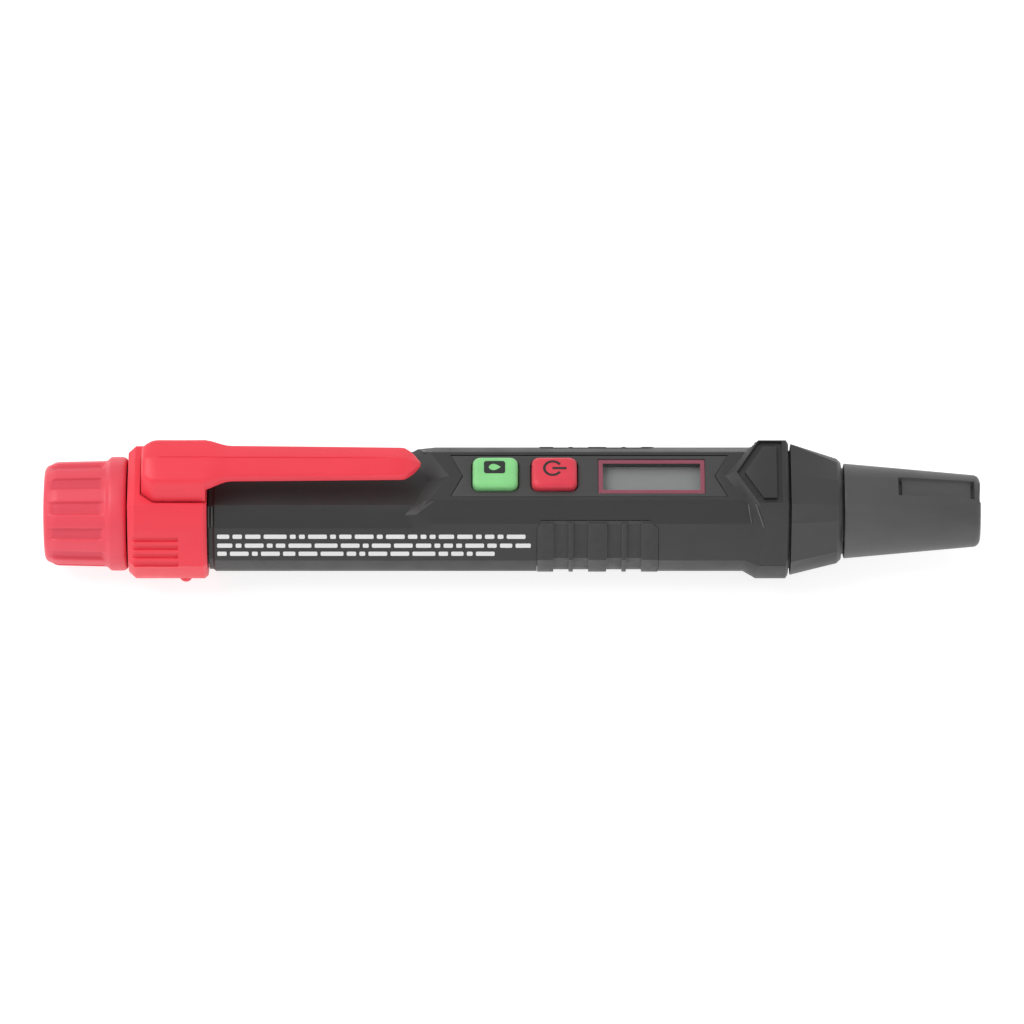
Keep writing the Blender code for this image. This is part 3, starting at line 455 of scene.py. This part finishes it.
def knob_row(x, radius, fluted):
    """One ring of the screw cap, pulled in at its flutes."""
    opening = smooth_step(x, FLUTE_X[0] - 0.5, FLUTE_X[0] + 0.6)
    along = opening * (1.0 - smooth_step(x, FLUTE_X[1] - 0.5, FLUTE_X[1] + 0.3))
    row = []
    for degrees in flute_angles():
        from_flute = abs((degrees + FLUTE_STEP / 2) % FLUTE_STEP - FLUTE_STEP / 2)
        in_flute = 1.0 - smooth_step(from_flute, FLUTE_HALF - FLUTE_WALL, FLUTE_HALF + FLUTE_WALL)
        r = radius - (FLUTE_DEPTH * in_flute * along if fluted else 0.0)
        angle = math.radians(degrees)
        row.append(Vector((x * MM, r * MM * math.sin(angle), BATTERY_AXIS + r * MM * math.cos(angle))))
    return row


def profile_radius(profile, x):
    """The radius of a turned profile at x, between its two nearest points."""
    for (x0, r0), (x1, r1) in zip(profile, profile[1:]):
        if x0 <= x <= x1 and x1 > x0:
            return r0 + (r1 - r0) * (x - x0) / (x1 - x0)
    return 0.0


def paint_flutes(knob, outside):
    """Gives the floors of the flutes the knob's second finish, a darker red that is painted shade in the
    hollows.
    """
    for face in knob.data.polygons:
        x = face.center.x / MM
        reach = math.hypot(face.center.y, face.center.z - BATTERY_AXIS) / MM
        deepest = profile_radius(outside, x) - FLUTE_DEPTH * 0.6
        if FLUTE_X[0] < x < FLUTE_X[1] and KNOB_BORE < reach < deepest:
            face.material_index = 1


def make_knob():
    """The screw cap: twelve soft flutes, a plain ring at its mouth, and its bore."""
    tail = CAP_LOW.x / MM
    mouth = CAP_HIGH.x / MM
    outside = [(tail, 0.01), (tail, 3.0), (tail, 5.6), (tail + 0.12, 6.7)]
    outside += arc((tail + 1.35, 7.15), 1.25, 168.0, 118.0, 5)
    outside += [(tail + 1.2, 8.42), (tail + 1.6, 8.64), (tail + 1.9, 8.76), (tail + 2.3, 8.86)]
    outside += [(tail + 2.3 + 0.35 * k, 8.87 + 0.008 * k) for k in range(1, 24)]
    outside += [(-69.4, 9.08), (-69.2, 9.14), (-68.95, 9.36), (-68.75, 9.58)]
    outside += [(-68.5, 9.71), (-68.2, 9.75), (-67.2, 9.76)]
    outside += [(mouth - 0.75, 9.73), (mouth - 0.35, 9.6), (mouth - 0.1, 9.4), (mouth, 9.2)]
    inside = [(mouth, 8.3), (mouth - 0.12, 8.16), (mouth - 1.0, 8.15)]
    inside += [(mouth - 1.0, 7.5), (mouth - 1.15, 7.36), (tail + 1.9, 7.35)]
    inside += [(tail + 1.8, 7.2), (tail + 1.8, 0.01)]
    rows = [knob_row(x, r, True) for x, r in outside] + [knob_row(x, r, False) for x, r in inside]
    knob = keep_creases(skin_through("battery_cap_skin", rows), 50.0)
    finish_piece(knob, "battery_cap", ["knob_abs", "flute_shade"])
    paint_flutes(knob, outside)
    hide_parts("battery_cap")


# The probe cap's channel, the two deeper slots at its ends, and the step at the tip. The channel lies
# CHANNEL_TURN off the top. Rays are shares of the channel's half angle
CHANNEL_X = (65.9, 78.9)
CHANNEL_HALF = 1.88
CHANNEL_FLOOR = (6.4, 5.2)
CHANNEL_TURN = 1.2
SLOT_LENGTH = 0.6
SLOT_DEPTH = 0.45
STEP_X = 79.6
STEP_FLOOR = 2.3
CHANNEL_RAYS = (0.6, 0.93, 0.97, 1.0, 1.02, 1.05, 1.12)
PLAIN_RAYS = 110
CAP_WIDE = 8.12
CAP_NARROW = 6.15


def channel_floor(x):
    """The height of the channel's floor at a station, or None where the cap is whole."""
    if x >= STEP_X:
        return STEP_FLOOR
    if not CHANNEL_X[0] <= x <= CHANNEL_X[1]:
        return None
    share = (x - CHANNEL_X[0]) / (CHANNEL_X[1] - CHANNEL_X[0])
    in_slot = min(x - CHANNEL_X[0], CHANNEL_X[1] - x) < SLOT_LENGTH
    return CHANNEL_FLOOR[0] + share * (CHANNEL_FLOOR[1] - CHANNEL_FLOOR[0]) - (SLOT_DEPTH if in_slot else 0.0)


def cap_row(x, radius, cut):
    """One ring of the probe cap, pulled in where the channel runs."""
    edge = math.degrees(math.asin(min(0.9, CHANNEL_HALF / max(radius, CHANNEL_HALF / 0.9))))
    shares = (*[-share for share in reversed(CHANNEL_RAYS)], 0.0, *CHANNEL_RAYS)
    near = [edge * share for share in shares]
    widest = CHANNEL_RAYS[-1]
    rest = [edge * widest + (360.0 - 2 * widest * edge) * k / PLAIN_RAYS for k in range(1, PLAIN_RAYS)]
    floor = channel_floor(x) if cut else None
    row = []
    for degrees in near + rest:
        angle = math.radians(degrees)
        r = radius
        if floor is not None and abs(degrees) < edge * 1.1:
            lowered = min(radius, floor / math.cos(angle))
            wall = 1.0 - smooth_step(abs(degrees), edge * 0.955, edge * 1.03)
            r = radius + (lowered - radius) * wall
        turned = angle + math.radians(CHANNEL_TURN)
        row.append(Vector((x * MM, r * MM * math.sin(turned), PROBE_AXIS + r * MM * math.cos(turned))))
    return row


def make_probe_cap():
    """The pull-off cap: a slim cone with a rounded tip, the channel along its top, and its bore."""
    mouth = PROBE_LOW.x / MM
    tip = PROBE_HIGH.x / MM

    def cone(x):
        return CAP_WIDE + (CAP_NARROW - CAP_WIDE) * (x - mouth - 0.2) / (tip - 1.1 - mouth - 0.2)

    stations = [mouth + 0.2, mouth + 0.5, mouth + 1.0]
    stations += [mouth + 2.0 + k for k in range(8)]
    stations += [65.8, 65.89, 65.91, 66.2, 66.49, 66.51, 67.0]
    stations += [67.5 + k for k in range(11)]
    stations += [78.29, 78.31, 78.6, 78.89, 78.91]
    outside = [(mouth, 7.8), (mouth + 0.05, 7.98), (mouth + 0.12, 8.08)] + [(x, cone(x)) for x in stations]
    outside += [(79.1, 6.12), (79.3, 6.05), (79.5, 5.93), (79.59, 5.86)]
    outside += [(79.61, 5.84), (79.75, 5.7), (79.9, 5.45), (tip, 5.15)]
    outside += [(tip, 4.0), (tip, 2.5), (tip, 1.2), (tip, 0.01)]
    inside = [(78.6, 0.01), (78.6, 4.2), (78.45, 4.5), (78.0, 4.7), (mouth + 0.15, 6.85), (mouth, 7.0)]
    rows = [cap_row(x, r, False) for x, r in inside] + [cap_row(x, r, True) for x, r in outside]
    cap = keep_creases(skin_through("probe_cap_skin", rows), 40.0)
    finish_piece(cap, "probe_cap", ["cap_abs"])
    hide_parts("probe_cap")


# ---------------------------------------------------------------- clip


def filleted(points, radii, steps=4):
    """A closed outline of (y, z) points with each corner rounded by its radius."""
    outline = []
    for i, (corner, radius) in enumerate(zip(points, radii)):
        here = Vector(corner)
        before = Vector(points[i - 1]) - here
        after = Vector(points[(i + 1) % len(points)]) - here
        reach = min(radius, before.length * 0.45, after.length * 0.45)
        start = here + before.normalized() * reach
        end = here + after.normalized() * reach
        for k in range(steps + 1):
            t = k / steps
            outline.append((1 - t) ** 2 * start + 2 * t * (1 - t) * here + t * t * end)
    return outline


# The fine groove along the clip's ridge
CREASE_X = (-59.8, -21.2)
CREASE_DEPTH = 0.16
CREASE_HALF = 0.15


def clip_row(x, half, edge, ridge, under, foot, soft):
    """One cross-section of the clip: a shallow roof on a bar, with rounded corners and a creased ridge.

    half and foot are its half widths at the eaves and at the underside. edge, ridge and under are the
    heights of its eaves, ridge and underside, and soft is the radius at the eaves.
    """
    depth = CREASE_DEPTH if CREASE_X[0] <= x <= CREASE_X[1] else 0.0
    side = min(CREASE_HALF, half * 0.4)
    corners = [(-side, ridge), (0.0, ridge - depth), (side, ridge), (half, edge)]
    corners += [(foot, under), (-foot, under), (-half, edge)]
    radii = [0.03, 0.03, 0.03, soft, 0.25, 0.25, soft]
    return [pen_point(x, point.x, point.y) for point in filleted(corners, radii)]


def make_clip():
    """Base and arm as the one moulding they are, the arm's underside curving up where it leaves the base."""
    low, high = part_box("clip_base")
    base_low = (low.z - AXIS) / MM
    base_end = high.x / MM
    table = [
        (-63.0, 2.7, 13.8, 14.2, base_low, 3.75, 0.5),
        (-62.92, 3.1, 14.35, 14.85, base_low, 3.9, 0.7),
        (-62.7, 3.45, 14.65, 15.35, base_low, 4.1, 0.9),
        (-62.3, 3.75, 14.85, 15.65, base_low, 4.4, 1.0),
        (-61.7, 4.15, 14.95, 15.82, base_low, 4.9, 1.05),
        (-61.1, 4.45, 15.0, 15.88, base_low, 5.3, 1.05),
        (-60.4, 4.58, 15.0, 15.9, base_low, 5.4, 1.05),
        (-59.9, 4.6, 15.0, 15.9, base_low, 5.4, 1.05),
        (-59.75, 4.6, 15.0, 15.9, base_low, 5.4, 1.05),
        (-56.0, 4.6, 15.0, 15.9, base_low, 5.4, 1.1),
        (base_end - 0.5, 4.6, 15.0, 15.9, base_low, 5.4, 1.0),
        (base_end - 0.1, 4.58, 15.0, 15.9, base_low, 5.35, 0.95),
        (base_end, 4.57, 15.0, 15.9, base_low + 0.15, 5.2, 0.9),
        (base_end + 0.02, 4.56, 15.0, 15.9, 12.2, 4.75, 0.9),
        (base_end + 0.2, 4.5, 15.0, 15.9, 12.62, 4.6, 0.85),
        (-51.2, 4.35, 15.0, 15.9, 12.78, 4.4, 0.8),
        (-50.4, 4.05, 14.96, 15.88, 12.92, 4.08, 0.7),
        (-49.4, 3.68, 14.9, 15.84, 13.1, 3.7, 0.6),
        (-48.5, 3.42, 14.84, 15.81, 13.24, 3.44, 0.55),
        (-47.6, 3.34, 14.8, 15.8, 13.3, 3.36, 0.5),
        (-40.0, 3.26, 14.79, 15.78, 13.3, 3.28, 0.5),
        (-30.0, 3.16, 14.75, 15.75, 13.3, 3.18, 0.5),
        (-21.25, 3.05, 14.72, 15.72, 13.3, 3.07, 0.5),
        (-21.1, 3.05, 14.72, 15.72, 13.3, 3.07, 0.5),
        (-18.9, 3.02, 14.7, 15.6, 13.3, 3.04, 0.45),
        (-18.2, 2.92, 14.66, 15.42, 13.3, 2.96, 0.4),
        (-17.4, 2.35, 14.6, 15.2, 13.3, 2.42, 0.35),
        (-16.7, 1.72, 14.46, 14.9, 13.32, 1.8, 0.3),
        (-16.1, 1.0, 14.2, 14.5, 13.42, 1.1, 0.25),
        (-15.65, 0.5, 14.0, 14.15, 13.55, 0.55, 0.2),
        (-15.52, 0.2, 13.9, 13.95, 13.7, 0.25, 0.1),
    ]
    clip = keep_creases(skin_through("clip_skin", [clip_row(*row) for row in table]), 40.0)
    clip.data.materials.append(FINISHES["red_abs"])
    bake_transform(clip)
    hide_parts("clip_base", "clip_arm")


# ---------------------------------------------------------------- keys, marks and print


def rounded_rectangle(half_x, half_y, radius, steps=6):
    """Points (x, y) round a rectangle with rounded corners."""
    points = []
    for sign_x, sign_y, start in ((1, 1, 0), (-1, 1, 90), (-1, -1, 180), (1, -1, 270)):
        for k in range(steps + 1):
            angle = math.radians(start + 90.0 * k / steps)
            x = sign_x * (half_x - radius) + radius * math.cos(angle)
            y = sign_y * (half_y - radius) + radius * math.sin(angle)
            points.append((x, y))
    return points


# The keys. The flange sizes are how far it reaches past the key in the frame
KEY_ROUND = 1.0
KEY_CORNER = 1.25
KEY_DOME = 0.07
KEY_FLANGE = (0.5, 0.4)
FLANGE_HEIGHT = 0.4


def make_key(node, finish):
    """A pillow-shaped rubber key on its flange."""
    low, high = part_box(node)
    middle = (low + high) / 2
    top = high.z / MM
    half_x = (high.x - low.x) / 2 / MM - KEY_FLANGE[0]
    half_y = (high.y - low.y) / 2 / MM - KEY_FLANGE[1]
    foot = low.z / MM
    flange_x = half_x + 0.45
    flange_y = half_y + 0.35
    levels = [(flange_x, flange_y, foot), (flange_x, flange_y, foot + FLANGE_HEIGHT)]
    levels += [(half_x, half_y, foot + FLANGE_HEIGHT)]
    levels += [(half_x, half_y, top - KEY_ROUND - 0.5), (half_x, half_y, top - KEY_ROUND)]
    for k in range(1, 9):
        angle = math.radians(90.0 * k / 8)
        inset = KEY_ROUND * (1.0 - math.cos(angle))
        rise = 0.92 * KEY_ROUND * math.sin(angle)
        levels.append((half_x - inset, half_y - inset, top - KEY_ROUND + rise))
    crown = top - 0.08 * KEY_ROUND
    flat_x, flat_y = half_x - KEY_ROUND, half_y - KEY_ROUND
    for share in (0.85, 0.6, 0.3, 0.01):
        levels.append((flat_x * share, flat_y * share, crown + KEY_DOME * (1.0 - share * share)))
    rows = []
    for x, y, z in levels:
        corner = KEY_CORNER * min(1.0, x / half_x)
        outline = rounded_rectangle(x, y, min(corner, x * 0.98, y * 0.98))
        rows.append([Vector((middle.x + px * MM, middle.y + py * MM, z * MM)) for px, py in outline])
    key = keep_creases(skin_through(node + "_skin", rows), 50.0)
    finish_piece(key, node, [finish])
    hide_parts(node)
    return middle.x / MM, top


# The marks on the keys. BADGE_PLACE and POWER_PLACE are from a key's middle along x and the pen's along y, and
# DROP_PLACE from the badge. The arc has its start and sweep, the bar its two ends and half its width
MARK_THICKNESS = 0.03
MARK_SINK = 0.02
BADGE_PLACE = (-0.12, 0.8)
BADGE_SIZE = (1.8, 1.3, 0.45)
DROP_STEPS = 24
DROP_PLACE = (-0.25, 0.0)
DROP_SIZE = (0.72, 2.0)
DROP_RISE = 0.005
POWER_PLACE = (-0.28, 0.6)
POWER_RADII = (1.2, 1.64)
POWER_ARC = (32.0, 296.0)
POWER_STEPS = 40
POWER_BAR = (-0.05, 2.35, 0.23)


def row_at(shape, row, height):
    """Vertices at (x, y) points and a height above the floor, in millimetres."""
    return [shape.verts.new((x * MM, y * MM, height * MM)) for x, y in row]


def flat_shape(name, outlines, height):
    """Thin printed shapes, each a strip between two equal rows of (x, y) points, its height above the floor."""
    shape = bmesh.new()
    for first, second in outlines:
        bottoms = [row_at(shape, row, height) for row in (first, second)]
        tops = [row_at(shape, row, height + MARK_THICKNESS) for row in (first, second)]
        for i in range(len(first) - 1):
            shape.faces.new((tops[0][i], tops[0][i + 1], tops[1][i + 1], tops[1][i]))
            shape.faces.new((bottoms[0][i], tops[0][i], tops[0][i + 1], bottoms[0][i + 1]))
            shape.faces.new((bottoms[1][i], bottoms[1][i + 1], tops[1][i + 1], tops[1][i]))
        for i in (0, len(first) - 1):
            shape.faces.new((bottoms[0][i], bottoms[1][i], tops[1][i], tops[0][i]))
    bmesh.ops.recalc_face_normals(shape, faces=shape.faces)
    return placed(name, shape)


def drop_outline(centre, radius, length):
    """A water drop lying along x, its point towards the nose: two rows from the round end to the point."""
    upper, lower = [], []
    for k in range(DROP_STEPS + 1):
        t = k / DROP_STEPS
        x = centre[0] - radius + length * t
        width = radius * math.sin(math.pi * min(1.0, 0.02 + t * 0.98)) ** 0.7 * (1.0 - 0.55 * t) * 1.2
        upper.append((x, centre[1] + width))
        lower.append((x, centre[1] - width))
    return upper, lower


def make_function_key():
    """The green key, with a drop on a dark badge."""
    middle, top = make_key("function_button", "green_rubber")
    centre = (middle + BADGE_PLACE[0], BADGE_PLACE[1])
    outline = [(centre[0] + x, centre[1] + y) for x, y in rounded_rectangle(*BADGE_SIZE)]
    count = len(outline) // 2
    badge = flat_shape("function_mark", [(outline[:count], outline[count:][::-1])], top - MARK_SINK)
    finish_piece(badge, "function_button", ["key_print"], "function_key")
    place = (centre[0] + DROP_PLACE[0], centre[1] + DROP_PLACE[1])
    drop = flat_shape("function_drop", [drop_outline(place, *DROP_SIZE)], top + DROP_RISE)
    finish_piece(drop, "function_button", ["green_rubber"], "function_key")


def make_power_key():
    """The red key, with the usual circle and bar."""
    middle, top = make_key("power_button", "red_rubber")
    centre = (middle + POWER_PLACE[0], POWER_PLACE[1])
    first, sweep = POWER_ARC
    angles = [math.radians(first + sweep * k / POWER_STEPS) for k in range(POWER_STEPS + 1)]
    arcs = []
    for radius in POWER_RADII:
        arcs.append([(centre[0] + radius * math.cos(a), centre[1] + radius * math.sin(a)) for a in angles])
    start, end, half = POWER_BAR
    ends = (centre[0] + start, centre[0] + end)
    bar = tuple([(x, centre[1] + side * half) for x in ends] for side in (1, -1))
    symbol = flat_shape("power_mark", [tuple(arcs), bar], top - MARK_SINK)
    finish_piece(symbol, "power_button", ["key_print"], "power_key")


# The side print. Each row has its level across the main view and the share of the length that it fills
PRINT_X = (-50.2, 3.7)
PRINT_ROWS = ((-4.2, 1.0), (-5.72, 1.0), (-7.1, 0.905))
BAR_HEIGHT = 0.72
BAR_LENGTHS = (1.0, 1.6, 2.1, 2.6, 3.2, 3.9)
BAR_GAP = 0.55
BAR_CORNER = 0.2
PRINT_RISE = 0.025
BAR_PARTS = 12
FINDER_START = 60.0


def half_height(distance):
    """Half a bar's height at a distance from its nearer end, where its corners are round."""
    if distance >= BAR_CORNER:
        return BAR_HEIGHT / 2
    return BAR_HEIGHT / 2 - BAR_CORNER * (1.0 - math.sqrt(1.0 - (1.0 - distance / BAR_CORNER) ** 2))


def shell_finder():
    """A function that takes x and a level across the main view to a point over the casing's near side."""
    casing = bmesh.new()
    casing.from_mesh(NODES["front_shell"].data)
    surface = BVHTree.FromBMesh(casing)
    casing.free()
    away = -view_direction()
    angle = math.radians(VIEW_ELEVATION)
    upward = Vector((0.0, math.sin(angle), math.cos(angle)))

    def find(x, level, rise):
        start = Vector((x * MM, 0.0, AXIS)) + upward * level * MM - away * FINDER_START * MM
        hit, normal, _, _ = surface.ray_cast(start, away)
        return hit + normal * rise * MM

    return find


def add_print_bar(shape, find, x, level, length):
    """One bar with rounded corners, laid on the casing."""
    distances = [0.0, BAR_CORNER * 0.15, BAR_CORNER * 0.45, BAR_CORNER]
    inner = [BAR_CORNER + (length - 2 * BAR_CORNER) * k / BAR_PARTS for k in range(1, BAR_PARTS)]
    rows = []
    for station in distances + inner + [length - distance for distance in reversed(distances)]:
        half = half_height(min(station, length - station))
        points = [find(x + station, level + side * half, PRINT_RISE) for side in (-1, 1)]
        rows.append([shape.verts.new(point) for point in points])
    for (a, b), (c, d) in zip(rows, rows[1:]):
        shape.faces.new((a, c, d, b))


def make_print():
    """Three rows of short plain bars on the near side, which stand for a printed note without any letters."""
    find = shell_finder()
    chance = random.Random(7)
    shape = bmesh.new()
    for level, share in PRINT_ROWS:
        x = PRINT_X[0]
        last = PRINT_X[0] + (PRINT_X[1] - PRINT_X[0]) * share
        while x < last - BAR_LENGTHS[0]:
            length = min(chance.choice(BAR_LENGTHS), last - x)
            add_print_bar(shape, find, x, level, length)
            x += length + BAR_GAP
    piece = placed("side_print", shape)
    piece.data.materials.append(FINISHES["white_print"])
    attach(piece, "housing")


# ---------------------------------------------------------------- small casing details


def add_plate(shape, corners, half_thickness):
    """A thin closed plate about a triangle or quad of points, half of it on either side of them."""
    normal = (corners[1] - corners[0]).cross(corners[2] - corners[0]).normalized()
    offset = normal * (half_thickness * MM)
    low = [shape.verts.new(point - offset) for point in corners]
    high = [shape.verts.new(point + offset) for point in corners]
    shape.faces.new(low[::-1])
    shape.faces.new(high)
    for i in range(len(corners)):
        j = (i + 1) % len(corners)
        shape.faces.new((low[i], low[j], high[j], high[i]))


def mirrored_plates(name, outlines, half_thickness):
    """Thin plates on outlines of (x, y, height) points, on both sides of the pen, with soft edges."""
    shape = bmesh.new()
    for side in (-1, 1):
        for outline in outlines:
            corners = [pen_point(x, side * y, height) for x, y, height in outline]
            add_plate(shape, corners if side < 0 else corners[::-1], half_thickness)
    return add_rounding(placed(name, shape), 0.05, 30.0, 2, 0)


# Points (x, y, height) of the wedge, and (y, height) of each rib's ends
RAMP_WEDGE = ((-15.0, 5.1, 10.15), (-13.2, 5.2, 10.25), (-16.0, 6.75, 8.82))
NECK_RIB_X = (-51.75, -51.15)
NECK_RIB_WIDTH = 0.22
NECK_RIB_ENDS = ((5.1, 8.62), (7.85, 6.4))


def make_ramp_wedges():
    """The small raised corner where the display section's ramp meets each side facet. Its lighter edge finish
    is a painted highlight on it.
    """
    finish_piece(mirrored_plates("ramp_wedges", [RAMP_WEDGE], 0.1), "front_shell", ["black_edge_highlight"])


def make_neck_ribs():
    """Two fine ribs on each upper facet of the casing's neck, just ahead of the red collar. Their lighter grey
    is a painted highlight along them.
    """
    top, foot = NECK_RIB_ENDS
    outlines = []
    for x in NECK_RIB_X:
        ahead = x + NECK_RIB_WIDTH
        outlines.append([(x, *top), (x, *foot), (ahead, *foot), (ahead, *top)])
    finish_piece(mirrored_plates("neck_ribs", outlines, 0.22), "front_shell", ["rib_highlight"])


# Each line's ends as (x, level across the main view)
FOLD_LINES = (((40.15, 1.35), (40.6, -1.9)), ((41.35, 1.35), (42.7, -2.55)))
FOLD_WIDTH = 0.2
FOLD_PARTS = 6
FOLD_RISE = 0.1


def make_fold_lines():
    """Two fine raised lines down each side where the display section steps up to the front collar. Their
    lighter grey is a painted highlight along them.
    """
    find = shell_finder()
    shape = bmesh.new()
    for start, end in FOLD_LINES:
        for k in range(FOLD_PARTS):
            near = []
            for share, shift in ((k, 0.0), (k + 1, 0.0), (k + 1, FOLD_WIDTH), (k, FOLD_WIDTH)):
                x = start[0] + (end[0] - start[0]) * share / FOLD_PARTS + shift
                level = start[1] + (end[1] - start[1]) * share / FOLD_PARTS
                near.append(find(x, level, 0.0))
            far = [Vector((point.x, -point.y, point.z)) for point in near]
            add_plate(shape, near, FOLD_RISE)
            add_plate(shape, far[::-1], FOLD_RISE)
    finish_piece(placed("fold_lines", shape), "front_shell", ["rib_highlight"])


# The thread's stations, root and crest radii, and half widths at root and crest
THREAD_X = (-73.6, -67.6)
THREAD_RADII = (6.8, 7.12)
THREAD_PITCH = 1.5
THREAD_STEPS = 48
THREAD_FADE = 12
THREAD_HALVES = (0.38, 0.12)


def make_thread():
    """The battery tube's outside thread, which shows when the cap is off."""
    turns = (THREAD_X[1] - THREAD_X[0]) / THREAD_PITCH
    count = int(turns * THREAD_STEPS)
    foot, top = THREAD_HALVES
    rows = []
    for i in range(count + 1):
        angle = 2.0 * math.pi * i / THREAD_STEPS
        x = THREAD_X[0] + THREAD_PITCH * i / THREAD_STEPS
        fade = min(1.0, i / THREAD_FADE, (count - i) / THREAD_FADE)
        crest = THREAD_RADII[0] + (THREAD_RADII[1] - THREAD_RADII[0]) * max(fade, 0.05)
        profile = ((-foot, THREAD_RADII[0]), (-top, crest), (top, crest), (foot, THREAD_RADII[0]))
        row = []
        for offset, radius in profile:
            y = radius * MM * math.sin(angle)
            row.append(Vector(((x + offset) * MM, y, BATTERY_AXIS + radius * MM * math.cos(angle))))
        rows.append(row)
    thread = keep_creases(skin_through("neck_thread", rows), 30.0)
    finish_piece(thread, "battery_tube", ["seal_rubber"])


def paint_the_rest():
    """The CAD nodes that keep their own shape get their finish."""
    for name, node in NODES.items():
        node.data.materials.clear()
        node.data.materials.append(FINISHES[SLOT_OF[name]])


# ---------------------------------------------------------------- studio

# The main view. VIEW_WIDTH is what the picture takes in, in metres
VIEW_ELEVATION = 54.0
VIEW_WIDTH = 0.17533
LENS = 300.0
WORLD_TURN = (0.45, 0.95)
WORLD_STRENGTH = (0.80, 0.30)
FLOOR_HALF = 1.5
FLOOR_GLOW = 0.8


def view_direction():
    """From the pen towards the camera of the main view."""
    angle = math.radians(VIEW_ELEVATION)
    return Vector((0.0, -math.cos(angle), math.sin(angle)))


def make_world():
    """A soft white tent whose open side, where a photographer would stand, is darker."""
    world = bpy.data.worlds.new("studio")
    bpy.context.scene.world = world
    world.use_nodes = True
    nodes, links = world.node_tree.nodes, world.node_tree.links
    background = nodes["Background"]
    background.inputs["Color"].default_value = (1.0, 1.0, 1.0, 1.0)
    direction = nodes.new("ShaderNodeTexCoord")
    facing = nodes.new("ShaderNodeVectorMath")
    facing.operation = "DOT_PRODUCT"
    facing.inputs[1].default_value = view_direction()
    links.new(direction.outputs["Generated"], facing.inputs[0])
    strength = nodes.new("ShaderNodeMapRange")
    strength.interpolation_type = "SMOOTHSTEP"
    strength.inputs["From Min"].default_value = WORLD_TURN[0]
    strength.inputs["From Max"].default_value = WORLD_TURN[1]
    strength.inputs["To Min"].default_value = WORLD_STRENGTH[0]
    strength.inputs["To Max"].default_value = WORLD_STRENGTH[1]
    links.new(facing.outputs["Value"], strength.inputs["Value"])
    links.new(strength.outputs["Result"], background.inputs["Strength"])


def make_floor():
    """A pale sheet, lit a little from below like a light table, so that its shadows stay soft."""
    shape = bmesh.new()
    bmesh.ops.create_grid(shape, x_segments=4, y_segments=4, size=FLOOR_HALF)
    floor = placed("floor", shape)
    material, nodes, links, shader = new_material("floor_white")
    paper = noise(nodes, links, 3.0)
    drive(nodes, links, shader, "Base Color", paper, [(0.3, 0.42), (0.7, 0.43)])
    shader.inputs["Roughness"].default_value = 0.9
    shader.inputs["Specular IOR Level"].default_value = 0.1
    shader.inputs["Emission Color"].default_value = (1.0, 1.0, 1.0, 1.0)
    shader.inputs["Emission Strength"].default_value = FLOOR_GLOW
    floor.data.materials.append(material)


# Each lamp's name, place, size and power. All of them face the pen
LAMPS = (
    ("key", (-0.55, 0.0, 0.85), 0.6, 5.6),
    ("fill", (0.6, -0.45, 0.7), 0.9, 1.6),
    ("low_front", (0.1, -0.95, 0.22), 0.8, 1.5),
)


def make_studio():
    scene = bpy.context.scene
    scene.view_settings.view_transform = "Standard"
    make_world()
    make_floor()
    for name, place, size, power in LAMPS:
        lamp = bpy.data.lights.new(name, "AREA")
        lamp.size = size
        lamp.energy = power
        holder = bpy.data.objects.new(name, lamp)
        scene.collection.objects.link(holder)
        holder.location = place
        aim = Vector((0, 0, AXIS)) - Vector(place)
        holder.rotation_euler = aim.to_track_quat("-Z", "Y").to_euler()


def make_camera():
    """A long lens at the main view's elevation, far enough off to see VIEW_WIDTH across."""
    camera = bpy.data.cameras.new("camera")
    camera.lens = LENS
    camera.clip_start = 0.05
    camera.clip_end = 20.0
    holder = bpy.data.objects.new("camera", camera)
    bpy.context.scene.collection.objects.link(holder)
    distance = VIEW_WIDTH * camera.lens / camera.sensor_width
    holder.location = Vector((0.0, 0.0, AXIS)) + distance * view_direction()
    holder.rotation_euler = (math.radians(90.0 - VIEW_ELEVATION), 0.0, 0.0)
    bpy.context.scene.camera = holder


make_camera()
make_studio()
paint_the_rest()
make_casing()
make_knob()
make_probe_cap()
make_clip()
make_function_key()
make_power_key()
make_print()
make_ramp_wedges()
make_neck_ribs()
make_fold_lines()
make_thread()
